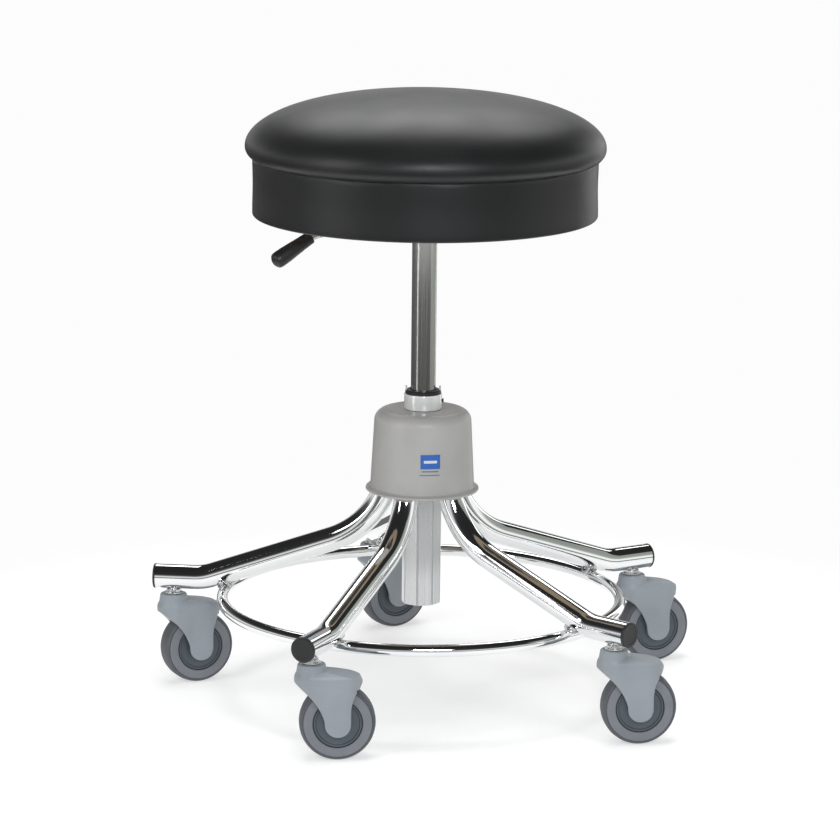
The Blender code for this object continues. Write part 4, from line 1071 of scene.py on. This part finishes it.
def make_cushion():
    """Domed vinyl top: filled as cloth, then drawn to its seam with small gathers."""
    mesh, moved = filled_pad()
    mesh.vertices.foreach_set("co", drawn_to(moved, 0.9).ravel())
    mesh.update()
    work = linked("pad_round", mesh)
    relax = work.modifiers.new("relax", "SMOOTH")
    relax.iterations = 3
    finer = work.modifiers.new("finer", "SUBSURF")
    finer.levels = 1
    finer.render_levels = 1
    mesh = taken_off(work)
    points = drawn_to(np.array([v.co for v in mesh.vertices]), 0.96)
    for v, spot in zip(mesh.vertices, points):
        x, y, z = spot
        radius = math.hypot(x, y)
        angle = math.atan2(y, x)
        draw = math.exp(-((z - SEAM_HEIGHT) / (3.5 * MM)) ** 2) if z > SEAM_HEIGHT - 1 * MM else 0
        pucker = noise.noise(Vector((math.cos(angle), math.sin(angle), 0.3)) * 16.0)
        soft = noise.noise(Vector((x, y, z)) * 14.0)
        shift = draw * 0.35 * MM * (pucker - 0.5) + 0.25 * MM * (soft - 0.5) * (z > SEAM_HEIGHT)
        grow = 1 + (shift - 0.1 * MM) / max(radius, 30 * MM)
        v.co = (x * grow, y * grow, z)
    mesh.shade_smooth()
    placed(mesh, STANDING)
    cushion = show("cushion_cover", mesh, "vinyl", "seat", ["seat_cushion"])


def band_radius(angle, share):
    """Outer radius of the boxing band: slight pull between its two edges, and soft waves."""
    spot = Vector((math.cos(angle) * 3.0, math.sin(angle) * 3.0, share * 0.8))
    wave = 0.22 * MM * (noise.noise(spot * 1.3) + 0.5 * noise.noise(spot * 3.1))
    waist = -0.45 * MM * math.sin(math.pi * share) ** 2
    return BOXING_RADIUS + wave + waist


def make_boxing():
    """Side band of the seat, closed by a sewn joint at the back and stapled under the board."""
    sides = 256
    inside = BOXING_RADIUS - BOXING_SKIN
    lip_top = low("seat_board").z - 0.3 * MM
    top = high("seat_boxing").z
    bm = bmesh.new()
    rings = []
    stations = [("lip", 0.0), ("lip", 0.5)] + [("edge", s / 6) for s in range(7)]
    stations += [("wall", s / 14) for s in range(1, 15)]
    stations += [("roll", s / 5) for s in range(1, 6)] + [("in", 0.0)]
    for kind, share in stations:
        ring = []
        for k in range(sides):
            angle = 2 * math.pi * k / sides
            outer = band_radius(angle, share if kind == "wall" else 0.0)
            pleat = noise.noise(Vector((math.cos(angle) * 9, math.sin(angle) * 9, share)))
            if kind == "lip":
                radius = inside - BOXING_TURN_IN + (BOXING_TURN_IN + 0.5 * MM) * share + 0.9 * MM * pleat
                z = SEAT_BOTTOM + 0.7 * MM - 0.3 * MM * share + 0.35 * MM * pleat
            elif kind == "edge":
                turn = math.pi / 2 * share
                radius = outer - HEM_RADIUS * (1 - math.sin(turn))
                z = SEAT_BOTTOM + HEM_RADIUS * (1 - math.cos(turn))
            elif kind == "wall":
                radius = outer
                z = SEAT_BOTTOM + HEM_RADIUS + (top - SEAT_BOTTOM - 4.0 * MM) * share
            elif kind == "roll":
                turn = math.pi / 2 * share
                radius = outer - ROLL_RADIUS * (1 - math.cos(turn))
                z = top - ROLL_RADIUS * (1 - math.sin(turn))
            else:
                radius, z = inside + 0.3 * MM, top
            radius -= back_seam(angle, kind)
            ring.append(bm.verts.new(polar(radius, angle, z)))
        rings.append(ring)
    for radius in (inside, inside - BOXING_TURN_IN):
        rings.append(ring_of(bm, radius, lip_top, sides))
    join_all(bm, rings, closed=True)
    band = placed(finish_mesh(bm, 50), STANDING)
    show("boxing_band", band, "vinyl", "seat", ["seat_boxing"])
    make_stitches()
    make_staples()


def back_seam(angle, kind):
    """Depth of the sewn joint's groove in the band."""
    if kind in ("lip", "in"):
        return 0.0
    across = (angle - BACK) * BOXING_RADIUS
    return 0.9 * MM * math.exp(-((across / (1.3 * MM)) ** 2))


def make_stitches():
    """Two rows of thread beside the band's joint."""
    bm = bmesh.new()
    pitch = 4.6 * MM
    count = int((high("seat_boxing").z - SEAT_BOTTOM - 8 * MM) / pitch)
    for side in (-1, 1):
        for i in range(count):
            z = SEAT_BOTTOM + 5 * MM + pitch * (i + 0.5)
            angle = BACK + side * 3.4 * MM / BOXING_RADIUS
            share = (z - SEAT_BOTTOM - HEM_RADIUS) / (high("seat_boxing").z - SEAT_BOTTOM - 4.0 * MM)
            radius = band_radius(angle, share) + 0.02 * MM
            made = bmesh.ops.create_uvsphere(bm, u_segments=10, v_segments=8, radius=1)["verts"]
            for v in made:
                v.co = Vector((v.co.x * 0.35 * MM, v.co.y * 0.35 * MM, v.co.z * 1.7 * MM))
                v.co += Vector(polar(radius, angle, z))
    mesh = placed(finish_mesh(bm, 180), STANDING)
    show("boxing_stitches", mesh, "thread", "seat")


def make_staples():
    """Wire staples that hold the turned-in vinyl under the board."""
    bm = bmesh.new()
    count = 40
    radius = BOXING_RADIUS - BOXING_SKIN - 7.5 * MM
    wire = 0.35 * MM
    for i in range(count):
        angle = 2 * math.pi * (i + 0.25 * noise.noise(Vector((i * 1.7, 0, 0)))) / count
        made = bmesh.ops.create_cube(bm, size=1)["verts"]
        bmesh.ops.scale(bm, vec=(wire * 2, 9 * MM, wire), verts=made)
        tilt = Matrix.Rotation(angle + 0.25 * noise.noise(Vector((0, i * 2.3, 0))), 4, "Z")
        spot = polar(radius, angle, SEAT_BOTTOM + 0.28 * MM)
        bmesh.ops.transform(bm, matrix=Matrix.Translation(spot) @ tilt, verts=made)
    mesh = placed(finish_mesh(bm, 30), STANDING)
    show("lip_staples", mesh, "steel", "seat")


# ---- seat plate and lever ---------------------------------------------------
PIVOT = pivot("lever_pull")
LEVER_ANGLE = math.atan2(PIVOT.y - AXIS.y, PIVOT.x - AXIS.x)
LEVER_REACH = (PIVOT.to_2d() - AXIS).length
LEVER_ROD = 4.0 * MM
LEVER_DROP = math.radians(29.5)
LEVER_DIP = 3.0 * MM
LEVER_BEND = 125.0 * MM
LEVER_TURN = 11 * MM
GRIP_START = 130.5 * MM
GRIP_LENGTH = 39.5 * MM
GRIP_BORE = 26 * MM
ON_LEVER = STANDING @ Matrix.Rotation(LEVER_ANGLE, 4, "Z")


def make_plate():
    """Pressed plate with its socket, socket weld and lever ears, and four screws."""
    bottom = low("seat_board").z - 3.3 * MM
    top = high("seat_plate").z
    half = 75 * MM
    square = [(x * half, y * half) for x, y in ((1, 1), (-1, 1), (-1, -1), (1, -1))]
    edge = 0.6 * MM
    levels = []
    for inset, z in ((edge, bottom), (0, bottom + edge), (0, top - edge), (edge, top)):
        corners = [(x - math.copysign(inset, x), y - math.copysign(inset, y), 18) for x, y in square]
        levels.append((rounded(corners, 12), z))
    plate = placed(stacked(levels), ON_LEVER)
    show("plate_sheet", plate, "dark_steel", "seat", ["seat_plate"])

    socket_low = low("seat_plate").z + 5.0 * MM
    outer = 19.0 * MM
    inner = CYLINDER + 0.3 * MM
    corners = [
        (inner, socket_low, 0.5), (outer, socket_low, 1.2), (outer, bottom - 3.0 * MM, 3.0),
        (outer + 4.0 * MM, bottom + 0.3 * MM, 0), (inner, bottom + 0.3 * MM, 0),
    ]
    socket = placed(lathed(corners, 6, 96), STANDING)
    show("plate_socket", socket, "dark_steel", "seat")
    ear_low = PIVOT.z - 6.2 * MM
    half = 5.25 * MM
    corners = [
        (LEVER_REACH - half, ear_low, 4.6), (LEVER_REACH + half, ear_low, 4.6),
        (LEVER_REACH + half, bottom + 0.4 * MM, 0), (LEVER_REACH - half, bottom + 0.4 * MM, 0),
    ]
    for side, word in ((-1, "left"), (1, "right")):
        ear = prism(rounded(corners, 10), 5.9 * MM, 8.9 * MM)
        ear.transform(ACROSS)
        if side > 0:
            ear.transform(Matrix.Scale(-1, 4, (0, 1, 0)))
            ear.flip_normals()
        show(f"lever_ear_{word}", placed(ear, ON_LEVER), "dark_steel", "seat")
    for k in range(1, 5):
        screw = screw_mesh(bottom)
        spot = middle(f"plate_screw_{k}")
        placed(screw, Matrix.Translation((spot.x, spot.y, 0)))
        show(f"pan_screw_{k}", screw, "steel", "seat", [f"plate_screw_{k}"])


def screw_mesh(plate_low):
    """Pan head with a cross recess, and its shank up into the board."""
    head = plate_low - 0.3 * MM
    corners = [
        (0, head - 2.8 * MM, 0), (4.4 * MM, head - 2.6 * MM, 1.6), (5.2 * MM, head, 0.3),
        (2.6 * MM, head, 0), (2.6 * MM, head + 11.0 * MM, 0), (0, head + 11.0 * MM, 0),
    ]
    body = lathed(corners, 6, 48, closed=False)
    cuts = []
    for wide, deep in ((4.8 * MM, 0.9 * MM), (0.9 * MM, 4.8 * MM)):
        signs = ((-1, -1), (1, -1), (1, 1), (-1, 1))
        outline = [(x * wide / 2, y * deep / 2) for x, y in signs]
        cuts.append(("DIFFERENCE", prism(outline, head - 4 * MM, head - 1.5 * MM)))
    mesh = solid(body, cuts)
    mesh.shade_smooth()
    mesh.set_sharp_from_angle(angle=math.radians(35))
    return mesh


def make_lever():
    height = PIVOT.z
    dip = height - LEVER_DIP
    grip_z = dip - (GRIP_START - LEVER_BEND) * math.tan(LEVER_DROP)
    along = Vector((math.cos(LEVER_DROP), -math.sin(LEVER_DROP)))
    end = Vector((GRIP_START, grip_z)) + along * 24 * MM
    points = [(-4 * MM, height), (44 * MM, height), (LEVER_BEND - 14 * MM, height - LEVER_DIP * 0.84)]
    after = (LEVER_BEND + LEVER_TURN * along.x, dip + LEVER_TURN * along.y)
    points += curve(points[-1], (LEVER_BEND, dip), after, 14)
    points += [(end.x, end.y)]
    bar = tube([(x, 0, z) for x, z in points], LEVER_ROD, sides=40, ends=0.8 * MM)
    show("lever_bar", placed(bar, ON_LEVER), "steel", "lever", ["lever_rod"])
    boss = [(2.7 * MM, -5.5 * MM, 0.2), (6.2 * MM, -5.5 * MM, 0.6)]
    boss += [(6.2 * MM, 5.5 * MM, 0.6), (2.7 * MM, 5.5 * MM, 0.2)]
    lay = Matrix.Translation((LEVER_REACH, 0, height)) @ ACROSS
    boss_mesh = placed(lathed(boss, 4, 64), ON_LEVER, lay)
    show("lever_boss", boss_mesh, "steel", "lever")
    pin = [(0, -10.7 * MM, 0), (3.6 * MM, -10.7 * MM, 0.6), (3.6 * MM, -9.2 * MM, 0.2)]
    pin += [(2.3 * MM, -9.2 * MM, 0), (2.3 * MM, 9.2 * MM, 0), (3.6 * MM, 9.2 * MM, 0.2)]
    pin += [(3.6 * MM, 10.7 * MM, 0.6), (0, 10.7 * MM, 0)]
    pin_mesh = placed(lathed(pin, 4, 40, closed=False), ON_LEVER, lay)
    show("pivot_pin", pin_mesh, "steel", "seat", ["lever_pin"])

    grip = placed(grip_mesh(), ON_LEVER, Matrix.Translation((GRIP_START, 0, grip_z)))
    show("lever_handle", grip, "black", "lever", ["lever_grip"])


def grip_mesh():
    """Flared grip with shallow ribs at its inner end and a domed tip, laid along the lever."""
    corners = [(4.3 * MM, GRIP_BORE, 0), (4.3 * MM, 0, 0.2), (6.4 * MM, 0, 0.5)]
    for rib in range(5):
        start = 2.0 * MM + rib * 2.3 * MM
        base = 6.7 * MM + rib * 0.09 * MM
        corners += [(base, start, 0.3), (base - 0.35 * MM, start + 0.5 * MM, 0.2)]
        corners += [(base - 0.33 * MM, start + 0.9 * MM, 0.2)]
        corners += [(base + 0.04 * MM, start + 1.4 * MM, 0.3)]
    corners += [(8.3 * MM, GRIP_LENGTH * 0.80, 12), (8.5 * MM, GRIP_LENGTH + 0.8 * MM, 2)]
    corners += [(8.0 * MM, GRIP_LENGTH + 5.0 * MM, 3.4), (3.8 * MM, GRIP_LENGTH + 7.85 * MM, 3.4)]
    corners += [(0, GRIP_LENGTH + 7.85 * MM, 0)]
    profile = [(0, GRIP_BORE)] + rounded(corners, 6, closed=False)
    mesh = turned(profile, 96, closed=False)
    mesh.transform(Matrix.Rotation(math.pi / 2 + LEVER_DROP, 4, "Y"))
    return mesh


# ---- carried-over nodes -----------------------------------------------------
def paint_nodes():
    """Procedural materials for the CAD nodes that stay in view."""
    paints = {
        "seat_board": "board",
        "hub_plate": "dark_steel",
        "column_base_plate": "dark_steel",
        "piston_rod": "polished",
        "thrust_washer": "steel",
        "rod_clip": "dark_steel",
        "release_pin": "steel",
    }
    paints.update({f"caster_axle_{k}": "steel" for k in range(1, COUNT + 1)})
    for name, paint in paints.items():
        obj = frame["nodes"][name]
        obj.data.materials.clear()
        obj.data.materials.append(MATS[paint])


# ---- floor, light and camera ------------------------------------------------
CAMERA_AWAY = 3.987
CAMERA_HEIGHT = 1.1517
CAMERA_SIDE = -0.0097
CAMERA_YAW = -0.0017
CAMERA_PITCH = 0.2124
CAMERA_ROLL = 0.0106
CAMERA_LENS = 169.1
SENSOR = 36.0
FLOOR_NEAR = 0.85
FLOOR_FAR = 40.0
FLOOR_GLOW = 0.975
FLOOR_LIFT = 0.52
WHITE = (1.0, 1.0, 1.0, 1.0)
# (height from 0 straight down to 1 straight up, brightness)
LOW_SKY = [(0.0, 0.05), (0.36, 0.06), (0.42, 0.15), (0.488, 0.15)]
SKY = LOW_SKY + [(0.497, 0.80), (0.58, 0.72), (0.65, 0.10), (0.74, 0.025), (1.0, 0.02)]


def floor_material(name, start, end):
    """Pale floor that takes soft shadows in the middle and stays evenly bright farther out."""
    s = Shade(name, Roughness=0.8, Specular_IOR_Level=0.1)
    s.set(s.shader, Base_Color=s.mix(s.noise(1.2, 3), (0.50, 0.50, 0.50), (0.52, 0.52, 0.52)))
    reach = s.node("VectorMath")
    reach.operation = "LENGTH"
    s.put(reach.inputs[0], s.place)
    fade = s.node("MapRange", Value=reach.outputs["Value"], From_Min=start, From_Max=end)
    fade.interpolation_type = "SMOOTHSTEP"
    glow = s.node("Emission", Color=WHITE, Strength=FLOOR_GLOW)
    blend = s.node("MixShader", Fac=fade.outputs["Result"])
    output = next(node for node in s.tree.nodes if node.type == "OUTPUT_MATERIAL")
    s.put(blend.inputs[1], s.shader.outputs[0])
    s.put(blend.inputs[2], glow.outputs[0])
    s.put(output.inputs["Surface"], blend.outputs[0])
    s.set(s.shader, Emission_Color=WHITE, Emission_Strength=FLOOR_LIFT)
    return s.mat


def make_floor():
    """Pale floor in two rings; the outer one is left out of reflections."""
    discs = (("floor_near", 0.0, FLOOR_NEAR, 0.30, 0.83), ("floor_far", FLOOR_NEAR, FLOOR_FAR, 0.0, 0.5))
    for name, inner, outer, start, end in discs:
        bm = bmesh.new()
        join_all(bm, [ring_of(bm, radius, 0, 96) for radius in (inner, outer)])
        mesh = finish_mesh(bm)
        if mesh.polygons[0].normal.z < 0:
            mesh.flip_normals()
        obj = linked(name, mesh)
        mesh.materials.append(floor_material(name, start, end))
        obj.visible_glossy = inner == 0.0


def soft_light(name, place, aim, size, watts, colour=(1, 1, 1), tall=None, glossy=True):
    data = bpy.data.lights.new(name, "AREA")
    data.shape = "RECTANGLE"
    data.size = size
    data.size_y = tall or size
    data.energy = watts
    data.color = colour
    obj = linked(name, data)
    obj.location = place
    obj.rotation_euler = (Vector(aim) - Vector(place)).to_track_quat("-Z", "Y").to_euler()
    obj.visible_camera = False
    obj.visible_glossy = glossy


def make_world():
    """Studio surroundings: pale at the horizon, dark below it and overhead."""
    world = bpy.data.worlds.new("studio")
    bpy.context.scene.world = world
    world.use_nodes = True
    tree = world.node_tree
    back = tree.nodes["Background"]
    place = tree.nodes.new("ShaderNodeTexCoord")
    split = tree.nodes.new("ShaderNodeSeparateXYZ")
    tree.links.new(place.outputs["Generated"], split.inputs["Vector"])
    ramp = tree.nodes.new("ShaderNodeValToRGB")
    scaled = tree.nodes.new("ShaderNodeMapRange")
    scaled.inputs["From Min"].default_value = -1
    tree.links.new(split.outputs["Z"], scaled.inputs["Value"])
    tree.links.new(scaled.outputs["Result"], ramp.inputs["Fac"])
    ramp.color_ramp.elements[0].position = SKY[0][0]
    ramp.color_ramp.elements[1].position = SKY[-1][0]
    for stop in SKY[1:-1]:
        ramp.color_ramp.elements.new(stop[0])
    for element, (position, grey) in zip(ramp.color_ramp.elements, SKY):
        element.color = (grey, grey, grey * 1.01, 1)
    tree.links.new(ramp.outputs["Color"], back.inputs["Color"])
    back.inputs["Strength"].default_value = 1.0


def make_lights():
    make_world()
    soft_light("back_top", (0.0, 1.7, 2.0), (0, 0, 0.4), 1.6, 14, tall=0.8)
    soft_light("overhead", (0.0, -0.1, 2.8), (0, 0, 0.2), 1.4, 50, glossy=False)
    soft_light("high_left", (-1.7, -1.9, 2.0), (0, 0, 0.3), 0.8, 15, glossy=False)
    soft_light("high_right", (1.5, -2.1, 1.9), (0, 0, 0.3), 0.8, 17, glossy=False)
    soft_light("key_left", (-2.4, -1.6, 1.5), (0, 0, 0.3), 0.4, 14, tall=2.0)
    soft_light("front", (0.35, -3.0, 1.62), (0, 0, 0.4), 1.1, 34, colour=(0.90, 0.94, 1.0), tall=0.6)
    soft_light("strip_left", (-1.05, -0.6, 0.45), (0, 0, 0.45), 0.09, 0.9, tall=1.3)
    soft_light("card_right", (1.25, 0.1, 0.5), (0, 0, 0.45), 1.6, 1.6, colour=(0.93, 1.0, 0.9), tall=1.0)
    soft_light("strip_back", (0.85, 1.0, 0.5), (0, 0, 0.5), 0.25, 1.6, tall=1.2)


def make_camera():
    data = bpy.data.cameras.new("camera")
    data.sensor_width = SENSOR
    data.lens = CAMERA_LENS
    data.clip_start = 0.1
    data.clip_end = 100
    camera = linked("camera", data)
    right = Vector((math.cos(CAMERA_YAW), math.sin(CAMERA_YAW), 0))
    level = Vector((-math.sin(CAMERA_YAW), math.cos(CAMERA_YAW), 0))
    ahead = level * math.cos(CAMERA_PITCH) - Vector((0, 0, math.sin(CAMERA_PITCH)))
    up = level * math.sin(CAMERA_PITCH) + Vector((0, 0, math.cos(CAMERA_PITCH)))
    tilted_right = right * math.cos(CAMERA_ROLL) + up * math.sin(CAMERA_ROLL)
    tilted_up = up * math.cos(CAMERA_ROLL) - right * math.sin(CAMERA_ROLL)
    turn = Matrix((tilted_right, tilted_up, -ahead)).transposed().to_4x4()
    place = Matrix.Translation((AXIS.x + CAMERA_SIDE, AXIS.y - CAMERA_AWAY, CAMERA_HEIGHT))
    camera.matrix_world = place @ turn
    bpy.context.scene.camera = camera
    bpy.context.scene.view_settings.view_transform = "Standard"


# ---- the whole scene --------------------------------------------------------
def build():
    make_camera()
    make_legs()
    make_ring()
    make_column()
    make_collar()
    make_bell()
    make_casters()
    make_cushion()
    make_boxing()
    make_plate()
    make_lever()
    paint_nodes()
    make_floor()
    make_lights()


build()
